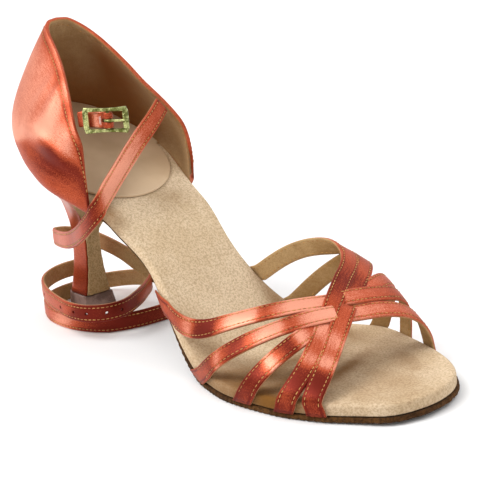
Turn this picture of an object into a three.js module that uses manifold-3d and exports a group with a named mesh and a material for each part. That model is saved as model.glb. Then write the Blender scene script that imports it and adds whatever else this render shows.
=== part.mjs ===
import * as THREE from 'three';
import Module from 'manifold-3d';

// Ballroom dance sandal for the right foot, standing empty on its sole.
// Millimetres. +X points to the toe, +Y to the medial side, +Z up; the floor is Z = 0.
// The origin is the middle of the heel tip's flat bottom.

// Sole and last
const shoeLength = 202.7;
const ballWidth = 73;
const waistWidth = 39.8;
const seatWidth = 52.6;
const seatRise = 83.6;
const seatSlope = 24.3;
const seatLength = 65.6;
const ballPosition = 129.7;
const toeSpring = 1.2;
const springPosition = 162;
const toeSwing = 3.9;
const archPull = 28.6;
const treadPull = 24.9;
const insoleThickness = 3.9;
const insoleRound = 1.1;
const insoleLowRound = 0.5;
const roundShare = 0.3;
const outsoleThickness = 1.8;
const outsoleMargin = 0.5;
const waistMargin = -1.6;
const gap = 0.3;

// Heel
const heelNeckRise = 31;
const heelNeckHalf = 3.5;
const heelNeckDepth = 11.8;
const heelFootHalf = 6;
const heelFootDepth = 15.2;
const breastPosition = 23.4;
const seatBreast = 60;
const heelTopMargin = 1.3;
const tipHeight = 6;
const tipHalf = 7.4;
const tipDepth = 17.6;
const flapThickness = 1.2;
const flapInset = 0.5;
const stemEase = 2.4;
const flarePull = 0.3;
const flareLean = 0.55;
const flareRise = 0.65;
const tipFront = 1.8;
const tipTopFront = 0.7;
const tipTopMargin = 0.5;
const tipTopDepth = 1.2;

// Quarter
const quarterLength = 70;
const counterHeight = 39;
const collarHalf = 26.3;
const wall = 1.8;
const quarterBulge = 9.2;
const frontBulge = 3.4;
const bulgeFrom = 0.72;
const medialReach = 0.975;
const quarterTuck = 0.35;
const quarterTuckRise = 0.55;

// Straps
const strapWidth = 6.8;
const strapThickness = 1.5;
const bandChamfer = 0.3;
const footThickness = 1;
const footShare = 0.1;
const footLean = 1.2;
const formStep = 0.4;
const floorClearance = 0.2;
const instepHeight = 60;
const instepSkew = 0.512;
const instepSkewFall = 1.24;
const instepMiddle = 0.65;
const instepSide = 0.915;
const instepCrown = 1.09;

// Heel sock
const sockThickness = 0.8;
const sockMargin = 0.9;
const sockFrontRadius = 26;
const sockCentre = 40;
const sockAxis = -1.5;

// Buckle
const buckleLength = 17.4;
const buckleHeight = 9.6;
const buckleBar = 1.5;
const endBarWidth = 2.2;
const barAhead = 9.6;
const centreBarRadius = 0.65;
const prongRadius = 0.55;
const tabWidth = 5.6;
const tabLayer = 0.9;
const tabAngle = 19;
const slitWidth = 2.1;
const slitReach = 3.2;
const buckleTurn = 38;
const prongClearance = 0.25;
const prongWall = 0.9;
const prongPast = 0.2;
const tabTail = 3.4;
const tabFlat = 0.75;
const tabOpen = 0.78;

const rad = Math.PI / 180;
const vec = (x, y, z) => new THREE.Vector3(x, y, z);

// Shares along the shoe's length; half widths as shares of the seat, waist or ball width.
const outlineRows = [
  { along: 0, lateral: 0, medial: 0 },
  { along: 0.015, lateral: 0.165, medial: 0.172 },
  { along: 0.05, lateral: 0.316, medial: 0.335 },
  { along: 0.11, lateral: 0.434, medial: 0.442 },
  { along: 0.18, lateral: 0.506, medial: 0.508 },
  { along: 0.26, lateral: 0.53, medial: 0.517 },
  { along: 0.36, lateral: 0.527, medial: 0.535 },
  { along: 0.46, lateral: 0.429, medial: 0.487 },
  { along: 0.56, lateral: 0.423, medial: 0.515 },
  { along: 0.64, lateral: 0.43, medial: 0.526 },
  { along: 0.72, lateral: 0.444, medial: 0.56 },
  { along: 0.8, lateral: 0.431, medial: 0.512 },
  { along: 0.88, lateral: 0.368, medial: 0.433 },
  { along: 0.94, lateral: 0.277, medial: 0.332 },
  { along: 0.98, lateral: 0.2, medial: 0.207 },
  { along: 1, lateral: 0, medial: 0 },
];

// Width that the half widths follow at each share of the length.
const widthRows = [
  { along: 0.2, width: seatWidth },
  { along: 0.36, width: waistWidth },
  { along: 0.42, width: waistWidth },
  { along: 0.72, width: ballWidth },
];

// Collar line over the quarter's own length, in shares: its place, its half width on either
// side, its height on the lateral side and its height on the inner, medial side.
const collarRows = [
  { along: 0, place: 0, lateral: 0, medial: 0, height: 1, inner: 1 },
  { along: 0.012, place: 0.01, lateral: 0.15, medial: 0.155, height: 0.995, inner: 0.997 },
  { along: 0.05, place: 0.05, lateral: 0.265, medial: 0.27, height: 0.975, inner: 0.98 },
  { along: 0.12, place: 0.12, lateral: 0.34, medial: 0.345, height: 0.96, inner: 0.966 },
  { along: 0.22, place: 0.215, lateral: 0.405, medial: 0.403, height: 0.94, inner: 0.944 },
  { along: 0.34, place: 0.33, lateral: 0.49, medial: 0.469, height: 0.9, inner: 0.898 },
  { along: 0.46, place: 0.45, lateral: 0.6, medial: 0.548, height: 0.846, inner: 0.829 },
  { along: 0.58, place: 0.565, lateral: 0.71, medial: 0.633, height: 0.77, inner: 0.741 },
  { along: 0.7, place: 0.68, lateral: 0.83, medial: 0.75, height: 0.687, inner: 0.655 },
  { along: 0.8, place: 0.77, lateral: 0.9, medial: 0.848, height: 0.6, inner: 0.573 },
  { along: 0.88, place: 0.85, lateral: 0.925, medial: 0.915, height: 0.51, inner: 0.49 },
  { along: 0.94, place: 0.91, lateral: 0.94, medial: 0.963, height: 0.36, inner: 0.35 },
  { along: 0.98, place: 0.96, lateral: 0.94, medial: 0.972, height: 0.19, inner: 0.19 },
  { along: 1, place: 1, lateral: 0.93, medial: 0.945, height: 0.02, inner: 0.02 },
];

// The buckle's centre bar beside the collar line's lateral front, in the same shares.
const buckleSeat = { place: 0.888, half: 0.597, height: 0.7815 };

// Height of the foot form that the vamp straps lie on.
const instepRows = [
  { along: 0.396, height: 1.056 },
  { along: 0.518, height: 0.86 },
  { along: 0.642, height: 0.585 },
  { along: 0.766, height: 0.393 },
  { along: 0.889, height: 0.15 },
  { along: 1, height: 0.05 },
];

// Vamp straps from the back: feet as shares of the length, with a bow and a lean between them.
const vampRows = [
  { name: 'waist', lateral: 0.513, medial: 0.769, bow: 0.1465, lean: 0.0247 },
  { name: 'second', lateral: 0.636, medial: 0.839, bow: 0.0765, lean: 0.0122 },
  { name: 'middle', lateral: 0.76, medial: 0.703, bow: 0.0514, lean: 0.0106 },
  { name: 'fourth', lateral: 0.838, medial: 0.497, bow: 0.0695, lean: 0.0286 },
  { name: 'front', lateral: 0.88, medial: 0.555, bow: 0.0514, lean: 0.0221 },
];

// Which strap lies over which, and how far each gives way, in shares of the thickness.
const weaveRows = [
  { over: 'fourth', under: 'waist', rise: 0.4, drop: 0.4 },
  { over: 'waist', under: 'front', rise: 0.4, drop: 0.4 },
  { over: 'second', under: 'fourth', rise: 0.4, drop: 0.4 },
  { over: 'front', under: 'second', rise: 0.4, drop: 0.4 },
  { over: 'waist', under: 'middle', rise: 0.05, drop: 0.75 },
  { over: 'second', under: 'middle', rise: 0.05, drop: 0.75 },
  { over: 'fourth', under: 'middle', rise: 0.05, drop: 0.75 },
  { over: 'front', under: 'middle', rise: 0.05, drop: 0.75 },
];
const weaveReach = 0.075;

// The loose ankle strap's middle line: shares of the quarter's length, the collar's half width
// and the seat's rise, the last above a strap that stands on its edge on the floor. It leaves
// the medial collar, passes the heel neck and lies in two rounds about the heel.
const ankleRows = [
  { along: 0.794, across: 0.692, rise: 0.963, turn: -22 },
  { along: 0.847, across: 0.411, rise: 0.913, turn: -27 },
  { along: 0.893, across: 0.034, rise: 0.841, turn: -31 },
  { along: 0.941, across: -0.350, rise: 0.760, turn: -31 },
  { along: 1.004, across: -0.749, rise: 0.681, turn: -28 },
  { along: 1.033, across: -1.027, rise: 0.609, turn: -6 },
  { along: 0.917, across: -1.065, rise: 0.518, turn: 0 },
  { along: 0.593, across: -0.779, rise: 0.401, turn: 0 },
  { along: 0.264, across: -0.456, rise: 0.331, turn: 0 },
  { along: 0.049, across: -0.190, rise: 0.300, turn: 0 },
  { along: 0.009, across: 0.076, rise: 0.281, turn: 0 },
  { along: 0.080, across: 0.327, rise: 0.263, turn: 0 },
  { along: 0.207, across: 0.456, rise: 0.232, turn: 0 },
  { along: 0.334, across: 0.570, rise: 0.189, turn: 0 },
  { along: 0.443, across: 0.707, rise: 0.121, turn: 0 },
  { along: 0.600, across: 0.859, rise: 0.049, turn: 0 },
  { along: 0.750, across: 0.837, rise: 0.011, turn: 0 },
  { along: 0.837, across: 0.570, rise: 0.000, turn: 0 },
  { along: 0.846, across: 0.152, rise: 0.000, turn: 0 },
  { along: 0.820, across: -0.266, rise: 0.000, turn: 0 },
  { along: 0.754, across: -0.608, rise: 0.000, turn: 0 },
  { along: 0.640, across: -0.798, rise: 0.000, turn: 0 },
  { along: 0.486, across: -0.886, rise: 0.000, turn: 0 },
  { along: 0.307, across: -0.852, rise: 0.000, turn: 0 },
  { along: 0.157, across: -0.662, rise: 0.000, turn: 0 },
  { along: 0.077, across: -0.342, rise: 0.000, turn: 0 },
  { along: 0.056, across: 0.076, rise: 0.001, turn: 0 },
  { along: 0.083, across: 0.494, rise: 0.008, turn: 0 },
  { along: 0.186, across: 0.791, rise: 0.020, turn: 0 },
  { along: 0.343, across: 0.897, rise: 0.038, turn: 0 },
  { along: 0.500, across: 0.707, rise: 0.060, turn: 0 },
  { along: 0.654, across: 0.342, rise: 0.078, turn: 0 },
  { along: 0.786, across: -0.061, rise: 0.087, turn: 0 },
  { along: 0.866, across: -0.479, rise: 0.087, turn: 0 },
  { along: 0.851, across: -0.768, rise: 0.087, turn: 0 },
  { along: 0.771, across: -0.966, rise: 0.086, turn: 0 },
  { along: 0.657, across: -1.034, rise: 0.086, turn: 0 },
  { along: 0.486, across: -0.981, rise: 0.086, turn: 0 },
  { along: 0.266, across: -0.821, rise: 0.086, turn: 0 },
  { along: 0.114, across: -0.601, rise: 0.090, turn: 0 },
  { along: 0.034, across: -0.327, rise: 0.094, turn: 0 },
  { along: 0.011, across: -0.076, rise: 0.099, turn: 0 },
  { along: 0.026, across: 0.137, rise: 0.104, turn: 0 },
];

// Piecewise monotone curve through the rows of a table.
function curveThrough(rows, key, value, place = (share) => share) {
  const xs = rows.map((row) => place(row[key]));
  const ys = rows.map((row) => row[value]);
  const rise = xs.slice(1).map((x, i) => (ys[i + 1] - ys[i]) / (x - xs[i]));
  const slope = ys.map((_, i) => {
    if (i === 0) return rise[0];
    if (i === ys.length - 1) return rise[i - 1];
    return rise[i - 1] * rise[i] <= 0 ? 0 : (2 * rise[i - 1] * rise[i]) / (rise[i - 1] + rise[i]);
  });
  return (share) => {
    const x = Math.min(Math.max(place(share), xs[0]), xs[xs.length - 1]);
    let i = 0;
    while (i < xs.length - 2 && x > xs[i + 1]) i += 1;
    const span = xs[i + 1] - xs[i];
    const t = (x - xs[i]) / span;
    const a = ys[i] * (1 + 2 * t) * (1 - t) * (1 - t) + slope[i] * span * t * (1 - t) * (1 - t);
    const b = ys[i + 1] * t * t * (3 - 2 * t) - slope[i + 1] * span * t * t * (1 - t);
    return a + b;
  };
}

const roundEnds = (share) => Math.acos(1 - 2 * Math.min(Math.max(share, 0), 1));
const roundStart = (share) => Math.sqrt(Math.max(share, 0));
const lateralShare = curveThrough(outlineRows, 'along', 'lateral', roundEnds);
const medialShare = curveThrough(outlineRows, 'along', 'medial', roundEnds);

function widthAt(along) {
  const { clamp, lerp, smoothstep } = THREE.MathUtils;
  const share = clamp(along, widthRows[0].along, widthRows.at(-1).along);
  const i = Math.max(1, widthRows.findIndex((row) => row.along >= share));
  const [a, b] = [widthRows[i - 1], widthRows[i]];
  return lerp(a.width, b.width, smoothstep(share, a.along, b.along));
}

// Insole edge at a place x along the shoe, on the lateral side (-1) or the medial side (+1).
function edgeAt(x, side) {
  const along = Math.min(Math.max(x / shoeLength, 0), 1);
  const axis = Math.max(0, x - shoeLength / 2) * Math.tan(toeSwing * rad);
  const half = (side < 0 ? lateralShare : medialShare)(along) * widthAt(along);
  return axis + side * half;
}

// Height of the insole's top: a sloping seat, a smooth arch and a flat tread with toe spring.
const ballTop = insoleThickness + gap + outsoleThickness;
const seatDrop = Math.tan(seatSlope * rad);
const archCurve = new THREE.CubicBezierCurve(
  new THREE.Vector2(seatLength, seatRise - seatDrop * seatLength),
  new THREE.Vector2(seatLength + archPull, seatRise - seatDrop * (seatLength + archPull)),
  new THREE.Vector2(ballPosition - treadPull, ballTop),
  new THREE.Vector2(ballPosition, ballTop),
);
const archPoints = archCurve.getPoints(80);

function topAt(x) {
  if (x <= seatLength) return seatRise - seatDrop * x;
  if (x >= ballPosition) {
    const ahead = Math.max(0, x - springPosition) / (shoeLength - springPosition);
    return ballTop + toeSpring * ahead * ahead;
  }
  const i = Math.max(1, archPoints.findIndex((p) => p.x >= x));
  const [a, b] = [archPoints[i - 1], archPoints[i]];
  return THREE.MathUtils.mapLinear(x, a.x, b.x, a.y, b.y);
}

// Point above (or below) the insole's top, measured square to it.
function onSole(x, y, lift) {
  const step = 0.5;
  const slope = Math.atan((topAt(x - step) - topAt(x + step)) / (2 * step));
  return vec(x + Math.sin(slope) * lift, y, topAt(x) + Math.cos(slope) * lift);
}

// Point in the seat's plane: along the seat, across, and square to it.
function onSeat(along, across, lift) {
  const [c, s] = [Math.cos(seatSlope * rad), Math.sin(seatSlope * rad)];
  return vec(along * c + lift * s, across, seatRise - along * s + lift * c);
}

// Closed body from points and faces; corners that coincide become one.
function solid(points, faces) {
  const keys = new Map();
  const positions = [];
  const welded = points.map((p) => {
    const key = [p.x, p.y, p.z].map((c) => Math.round(c * 5000)).join(' ');
    if (!keys.has(key)) {
      keys.set(key, positions.length / 3);
      positions.push(p.x, p.y, p.z);
    }
    return keys.get(key);
  });
  const index = [];
  for (const face of faces) {
    const [a, b, c] = face.map((i) => welded[i]);
    if (a !== b && b !== c && a !== c) index.push(a, b, c);
  }
  const at = (i) => new THREE.Vector3().fromArray(positions, 3 * i);
  let volume = 0;
  for (let i = 0; i < index.length; i += 3) {
    volume += at(index[i]).dot(at(index[i + 1]).cross(at(index[i + 2])));
  }
  if (volume < 0) index.reverse();
  const geometry = new THREE.BufferGeometry();
  geometry.setAttribute('position', new THREE.Float32BufferAttribute(positions, 3));
  geometry.setIndex(index);
  return geometry;
}

// Body skinned over closed rings of equal length, with both end rings closed by a fan.
function loft(rings) {
  const count = rings[0].length;
  const points = rings.flat();
  const faces = [];
  for (let i = 0; i < rings.length - 1; i += 1) {
    for (let j = 0; j < count; j += 1) {
      const k = (j + 1) % count;
      faces.push([i * count + j, i * count + k, (i + 1) * count + k]);
      faces.push([i * count + j, (i + 1) * count + k, (i + 1) * count + j]);
    }
  }
  const ends = [[rings[0], 0, true], [rings.at(-1), points.length - count, false]];
  for (const [ring, start, flip] of ends) {
    const middle = ring.reduce((sum, p) => sum.add(p), vec(0, 0, 0)).divideScalar(count);
    points.push(middle);
    for (let j = 0; j < count; j += 1) {
      const [a, b] = [start + j, start + ((j + 1) % count)];
      faces.push(flip ? [b, a, points.length - 1] : [a, b, points.length - 1]);
    }
  }
  return solid(points, faces);
}

// Thin body between an outer and an inner sheet of points.
function shell(outer, inner) {
  const [rows, cols] = [outer.length, outer[0].length];
  const points = [...outer.flat(), ...inner.flat()];
  const at = (sheet, i, j) => sheet * rows * cols + i * cols + j;
  const faces = [];
  const quad = (a, b, c, d) => faces.push([a, b, c], [a, c, d]);
  for (let i = 0; i < rows - 1; i += 1) {
    for (let j = 0; j < cols - 1; j += 1) {
      quad(at(0, i, j), at(0, i + 1, j), at(0, i + 1, j + 1), at(0, i, j + 1));
      quad(at(1, i, j), at(1, i, j + 1), at(1, i + 1, j + 1), at(1, i + 1, j));
    }
  }
  for (let i = 0; i < rows - 1; i += 1) {
    quad(at(0, i, 0), at(1, i, 0), at(1, i + 1, 0), at(0, i + 1, 0));
    quad(at(0, i, cols - 1), at(0, i + 1, cols - 1), at(1, i + 1, cols - 1), at(1, i, cols - 1));
  }
  for (let j = 0; j < cols - 1; j += 1) {
    quad(at(0, 0, j), at(0, 0, j + 1), at(1, 0, j + 1), at(1, 0, j));
    quad(at(0, rows - 1, j), at(1, rows - 1, j), at(1, rows - 1, j + 1), at(0, rows - 1, j + 1));
  }
  return solid(points, faces);
}

// Layer that follows the insole's shape between two places. Each level has a lift above the
// insole's top and an inset from the edge that the layer is given.
function soleLayer({ start, end, edge, levels, stations = 44, across = 4 }) {
  const xs = Array.from({ length: stations + 1 }, (_, i) => {
    return start + ((end - start) * (1 - Math.cos((Math.PI * i) / stations))) / 2;
  });
  const loops = levels.map(({ lift, inset }) => {
    const sides = [-1, 1].map((side) => xs.map((x, i) => {
      const [before, after] = [xs[Math.max(i - 1, 0)], xs[Math.min(i + 1, stations)]];
      const run = vec(after - before, edge(after, side) - edge(before, side), 0).normalize();
      const closed = Math.abs(edge(x, 1) - edge(x, -1)) < 0.01;
      const out = closed ? vec(i === 0 ? -1 : 1, 0, 0) : vec(-run.y * side, run.x * side, 0);
      return vec(x - out.x * inset, edge(x, side) - out.y * inset, 0);
    }));
    const [lateral, medial] = sides;
    const bridge = (i, k) => lateral[i].clone().lerp(medial[i], k / across);
    const grid = xs.map((_, i) => Array.from({ length: across + 1 }, (__, k) => bridge(i, k)));
    return grid.map((row) => row.map((p) => onSole(p.x, p.y, lift)));
  });
  const points = loops.flat(2);
  const cols = across + 1;
  const size = xs.length * cols;
  const at = (level, i, k) => level * size + i * cols + k;
  const faces = [];
  const quad = (a, b, c, d) => faces.push([a, b, c], [a, c, d]);
  const last = levels.length - 1;
  for (let i = 0; i < stations; i += 1) {
    for (let k = 0; k < across; k += 1) {
      quad(at(0, i, k), at(0, i, k + 1), at(0, i + 1, k + 1), at(0, i + 1, k));
      quad(at(last, i, k), at(last, i + 1, k), at(last, i + 1, k + 1), at(last, i, k + 1));
    }
  }
  for (let level = 0; level < last; level += 1) {
    for (let i = 0; i < stations; i += 1) {
      quad(at(level, i, 0), at(level, i + 1, 0), at(level + 1, i + 1, 0), at(level + 1, i, 0));
      quad(at(level, i, across), at(level + 1, i, across), at(level + 1, i + 1, across),
        at(level, i + 1, across));
    }
    for (let k = 0; k < across; k += 1) {
      quad(at(level, 0, k), at(level + 1, 0, k), at(level + 1, 0, k + 1), at(level, 0, k + 1));
      quad(at(level, stations, k), at(level, stations, k + 1), at(level + 1, stations, k + 1),
        at(level + 1, stations, k));
    }
  }
  return solid(points, faces);
}

// Flat band along a line of stops, each with a point, a direction across, a direction out and
// a thickness.
function band(stops, width) {
  const half = width / 2;
  return loft(stops.map(({ point, across, out, thickness }) => {
    const thick = thickness / 2;
    const chamfer = thickness * bandChamfer;
    const section = [
      [-half, -thick + chamfer], [-half, thick - chamfer],
      [-half + chamfer, thick], [half - chamfer, thick],
      [half, thick - chamfer], [half, -thick + chamfer],
      [half - chamfer, -thick], [-half + chamfer, -thick],
    ];
    return section.map(([a, b]) => {
      return point.clone().addScaledVector(across, a).addScaledVector(out, b);
    });
  }));
}

// Box given by its middle and its sizes.
function block(x, y, z, width, depth, height) {
  const geometry = new THREE.BoxGeometry(width, depth, height);
  geometry.translate(x, y, z);
  return geometry;
}

const wasm = await Module();
wasm.setup();

function toManifold(geometry) {
  const position = geometry.getAttribute('position');
  const points = Array.from({ length: position.count }, (_, i) => {
    return new THREE.Vector3().fromBufferAttribute(position, i);
  });
  const flat = geometry.getIndex() ? [...geometry.getIndex().array] : points.map((_, i) => i);
  const faces = [];
  for (let i = 0; i < flat.length; i += 3) faces.push(flat.slice(i, i + 3));
  const welded = solid(points, faces);
  return new wasm.Manifold(new wasm.Mesh({
    numProp: 3,
    vertProperties: new Float32Array(welded.getAttribute('position').array),
    triVerts: new Uint32Array(welded.getIndex().array),
  }));
}

function fromManifold(manifold) {
  const mesh = manifold.getMesh();
  const geometry = new THREE.BufferGeometry();
  geometry.setAttribute('position', new THREE.Float32BufferAttribute(mesh.vertProperties, 3));
  geometry.setIndex([...mesh.triVerts]);
  return geometry;
}

function joined(geometries) {
  return fromManifold(geometries.map(toManifold).reduce((sum, next) => sum.add(next)));
}

// Insole board in its wrapped cover
function insole() {
  return soleLayer({
    start: 0,
    end: shoeLength,
    edge: edgeAt,
    levels: [
      { lift: -insoleThickness, inset: insoleLowRound },
      { lift: -insoleThickness + insoleLowRound, inset: 0 },
      { lift: -insoleRound, inset: 0 },
      { lift: -insoleRound * roundShare, inset: insoleRound * roundShare },
      { lift: 0, inset: insoleRound },
    ],
  });
}

function heelSock() {
  const edge = (x, side) => {
    const inside = edgeAt(x, side) - side * sockMargin;
    if (x <= sockCentre) return inside;
    const reach = Math.sqrt(Math.max(0, sockFrontRadius ** 2 - (x - sockCentre) ** 2));
    const arc = sockAxis + side * reach;
    return side < 0 ? Math.max(inside, arc) : Math.min(inside, arc);
  };
  return soleLayer({
    start: sockMargin + insoleRound,
    end: sockCentre + sockFrontRadius,
    edge,
    levels: [
      { lift: gap, inset: 0 },
      { lift: gap + sockThickness / 2, inset: 0 },
      { lift: gap + sockThickness, inset: sockThickness / 2 },
    ],
    stations: 22,
  });
}

// Heel outline at its seat: the insole's outline grown a little, cut square at the breast.
function seatOutline(count, margin, limit) {
  const reach = limit * Math.cos(seatSlope * rad);
  const turn = Math.acos(1 - (2 * reach) / shoeLength);
  return Array.from({ length: count + 1 }, (_, i) => {
    const share = (2 * i) / count - 1;
    const side = share < 0 ? -1 : 1;
    const at = (angle) => {
      const x = (shoeLength * (1 - Math.cos(angle))) / 2;
      return vec(x, edgeAt(x, side), 0);
    };
    const angle = Math.abs(share) * turn;
    const run = at(angle + 0.01).sub(at(Math.max(0, angle - 0.01))).normalize();
    const out = angle < 0.01 ? vec(-1, 0, 0) : vec(-run.y * side, run.x * side, 0);
    const edge = at(angle);
    const along = edge.x / Math.cos(seatSlope * rad);
    return { along, across: edge.y, outAlong: out.x, outAcross: out.y, margin };
  });
}

// Section of the heel: a straight breast and a round back.
function heelRing(z, breast, half, depth, frontCount, backCount) {
  const ring = [];
  for (let i = 0; i < frontCount; i += 1) {
    ring.push(vec(breast, half * (1 - (2 * i) / frontCount), z));
  }
  const straight = Math.max(0, depth - half);
  const length = 2 * straight + Math.PI * half;
  for (let i = 0; i < backCount; i += 1) {
    const way = (length * i) / backCount;
    if (way < straight) {
      ring.push(vec(breast - way, -half, z));
    } else if (way > length - straight) {
      ring.push(vec(breast - (length - way), half, z));
    } else {
      const angle = (way - straight) / half;
      ring.push(vec(breast - straight - half * Math.sin(angle), -half * Math.cos(angle), z));
    }
  }
  return ring;
}

const frontCount = 8;
const backCount = 24;
const heelSeatLift = -insoleThickness - gap;

// Ring on the underside of the seat, in the same order as the heel's sections.
function heelSeatRing() {
  const outline = seatOutline(backCount, heelTopMargin, seatBreast).map((p) => onSeat(
    p.along + p.outAlong * p.margin,
    p.across + p.outAcross * p.margin,
    heelSeatLift,
  ));
  const [lateral, medial] = [outline[0], outline.at(-1)];
  const front = Array.from({ length: frontCount }, (_, i) => {
    return medial.clone().lerp(lateral, i / frontCount);
  });
  return [...front, ...outline.slice(0, -1)];
}

// The heel's flare, from its neck (0) to its seat (1).
function heelFlare(share) {
  const neck = heelRing(heelNeckRise, breastPosition, heelNeckHalf, heelNeckDepth, frontCount, backCount);
  const seat = heelSeatRing();
  return neck.map((low, j) => {
    const high = seat[j];
    const lowPull = low.clone().setZ(low.z + heelNeckRise * flarePull);
    const highPull = vec(
      THREE.MathUtils.lerp(low.x, high.x, flareLean),
      THREE.MathUtils.lerp(low.y, high.y, flareLean),
      THREE.MathUtils.lerp(low.z, high.z, flareRise),
    );
    return new THREE.CubicBezierCurve3(low, lowPull, highPull, high).getPoint(share);
  });
}

const heelBottom = tipHeight + gap;
const heelLowerSections = 5;
const heelUpperSections = 8;

// Lower part of the heel at a share of the way from its foot to its neck.
function heelStem(share) {
  const z = THREE.MathUtils.lerp(heelBottom, heelNeckRise, share);
  const ease = (1 - share) ** stemEase;
  const half = THREE.MathUtils.lerp(heelNeckHalf, heelFootHalf, ease);
  const depth = THREE.MathUtils.lerp(heelNeckDepth, heelFootDepth, ease);
  return heelRing(z, breastPosition, half, depth, frontCount, backCount);
}

function heel() {
  const rings = [];
  for (let i = 0; i < heelLowerSections; i += 1) rings.push(heelStem(i / heelLowerSections));
  for (let i = 0; i <= heelUpperSections; i += 1) rings.push(heelFlare(i / heelUpperSections));
  return loft(rings);
}

function heelTip() {
  const top = heelRing(tipHeight, breastPosition + tipTopFront, heelFootHalf + tipTopMargin,
    heelFootDepth + tipTopDepth, frontCount, backCount);
  const foot = heelRing(0, breastPosition + tipFront, tipHalf, tipDepth, frontCount, backCount);
  return loft([foot, top]);
}

// Suede outsole: the tread and waist, with a flap down the heel breast
function outsole() {
  const rear = onSeat(seatBreast + gap, 0, 0).x;
  const edge = (x, side) => {
    const ahead = THREE.MathUtils.smoothstep(x, seatLength + archPull, ballPosition);
    return edgeAt(x, side) + side * THREE.MathUtils.lerp(waistMargin, 0, ahead);
  };
  const top = -insoleThickness - gap;
  const tread = soleLayer({
    start: rear,
    end: shoeLength,
    edge,
    levels: [
      { lift: top - outsoleThickness, inset: 0 },
      { lift: top - outsoleThickness / 2, inset: -outsoleMargin },
      { lift: top, inset: -outsoleMargin / 2 },
    ],
    stations: 38,
  });
  const breastLine = [];
  for (let i = 1; i < heelLowerSections; i += 1) breastLine.push(heelStem(i / heelLowerSections));
  for (let i = 0; i <= heelUpperSections; i += 1) breastLine.push(heelFlare(i / heelUpperSections));
  breastLine.unshift(heelStem(0).map((p) => p.clone().setZ(p.z + gap)));
  const middle = breastLine.map((ring) => ring[0].clone().add(ring[frontCount]).divideScalar(2));
  const rings = breastLine.map((ring, i) => {
    const next = middle[Math.min(i + 1, middle.length - 1)].clone();
    const run = next.sub(middle[Math.max(i - 1, 0)]).normalize();
    const out = vec(run.z, 0, -run.x);
    const [medial, lateral] = [ring[0].clone(), ring[frontCount].clone()];
    medial.y -= flapInset;
    lateral.y += flapInset;
    const place = (p, lift) => p.clone().addScaledVector(out, lift);
    return [
      place(lateral, gap), place(medial, gap),
      place(medial, gap + flapThickness), place(lateral, gap + flapThickness),
    ];
  });
  return joined([tread, loft(rings)]);
}

// Closed quarter: one hollow wall round the heel with a line that falls to the front
function quarter() {
  const [columns, levels] = [44, 8];
  const place = curveThrough(collarRows, 'along', 'place', roundStart);
  const halves = ['lateral', 'medial'].map((key) => curveThrough(collarRows, 'along', key, roundStart));
  const heights = ['height', 'inner'].map((key) => curveThrough(collarRows, 'along', key, roundStart));
  const rim = insoleThickness;
  const reach = (side) => quarterLength * (side < 0 ? 1 : medialReach);
  const outline = [-1, 1].map((side) => seatOutline(columns, 0, reach(side)));
  const outer = outline[0].map((_, i) => {
    const side = i < columns / 2 ? -1 : 1;
    const which = side < 0 ? 0 : 1;
    const p = outline[which][i];
    const along = Math.min(1, p.along / reach(side));
    const ahead = THREE.MathUtils.smoothstep(along, bulgeFrom, 1);
    const bulge = THREE.MathUtils.lerp(quarterBulge, frontBulge, ahead);
    const out = (margin, lift) => vec(
      p.along + p.outAlong * margin,
      p.across + p.outAcross * margin,
      lift,
    );
    const foot = out(gap + wall, -rim);
    const low = out(bulge, -rim / 2);
    const top = vec(
      place(along) * reach(side),
      side * halves[which](along) * collarHalf,
      heights[which](along) * counterHeight,
    );
    const high = low.clone().lerp(top, quarterTuck).setZ(top.z * quarterTuckRise);
    const section = new THREE.CubicBezierCurve3(foot, low, high, top);
    return Array.from({ length: levels + 1 }, (_, k) => {
      const q = section.getPoint(k / levels);
      return onSeat(q.x, q.y, q.z);
    });
  });
  const inner = outer.map((column, i) => column.map((p, k) => {
    const [left, right] = [outer[Math.max(i - 1, 0)][k], outer[Math.min(i + 1, columns)][k]];
    const [down, up] = [column[Math.max(k - 1, 0)], column[Math.min(k + 1, levels)]];
    const normal = right.clone().sub(left).cross(up.clone().sub(down)).normalize();
    return p.clone().addScaledVector(normal, wall);
  }));
  return shell(outer, inner);
}

// Foot form under the vamp straps: a hoop at each place, from the lateral to the medial edge.
const instepShare = curveThrough(instepRows, 'along', 'height');

function onInstep(x, share) {
  const lift = gap + footThickness / 2;
  const [lateral, medial] = [edgeAt(x, -1) - lift, edgeAt(x, 1) + lift];
  const angle = Math.PI * (1 - share);
  const [c, s] = [Math.cos(angle), Math.max(0, Math.sin(angle))];
  const skew = instepSkew - instepSkewFall * (x / shoeLength - instepMiddle);
  const side = Math.sign(c) * Math.abs(c) ** instepSide + skew * s * s;
  const height = instepShare(x / shoeLength) * instepHeight * s ** instepCrown;
  const middle = (lateral + medial) / 2;
  return vec(x, middle + ((medial - lateral) / 2) * side, topAt(x) + height);
}

function vampLine(row, share) {
  const bow = row.bow * Math.sin(Math.PI * share) + row.lean * Math.sin(2 * Math.PI * share);
  return shoeLength * (THREE.MathUtils.lerp(row.lateral, row.medial, share) + bow);
}

// Share along each strap where two straps come closest.
function crossing(first, second) {
  const tries = 100;
  const margin = 10;
  let best = { distance: Infinity };
  for (let i = margin; i <= tries - margin; i += 1) {
    for (let k = margin; k <= tries - margin; k += 1) {
      const [a, b] = [i / tries, k / tries];
      const distance = onInstep(vampLine(first, a), a).distanceTo(onInstep(vampLine(second, b), b));
      if (distance < best.distance) best = { distance, a, b };
    }
  }
  return best;
}

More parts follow.
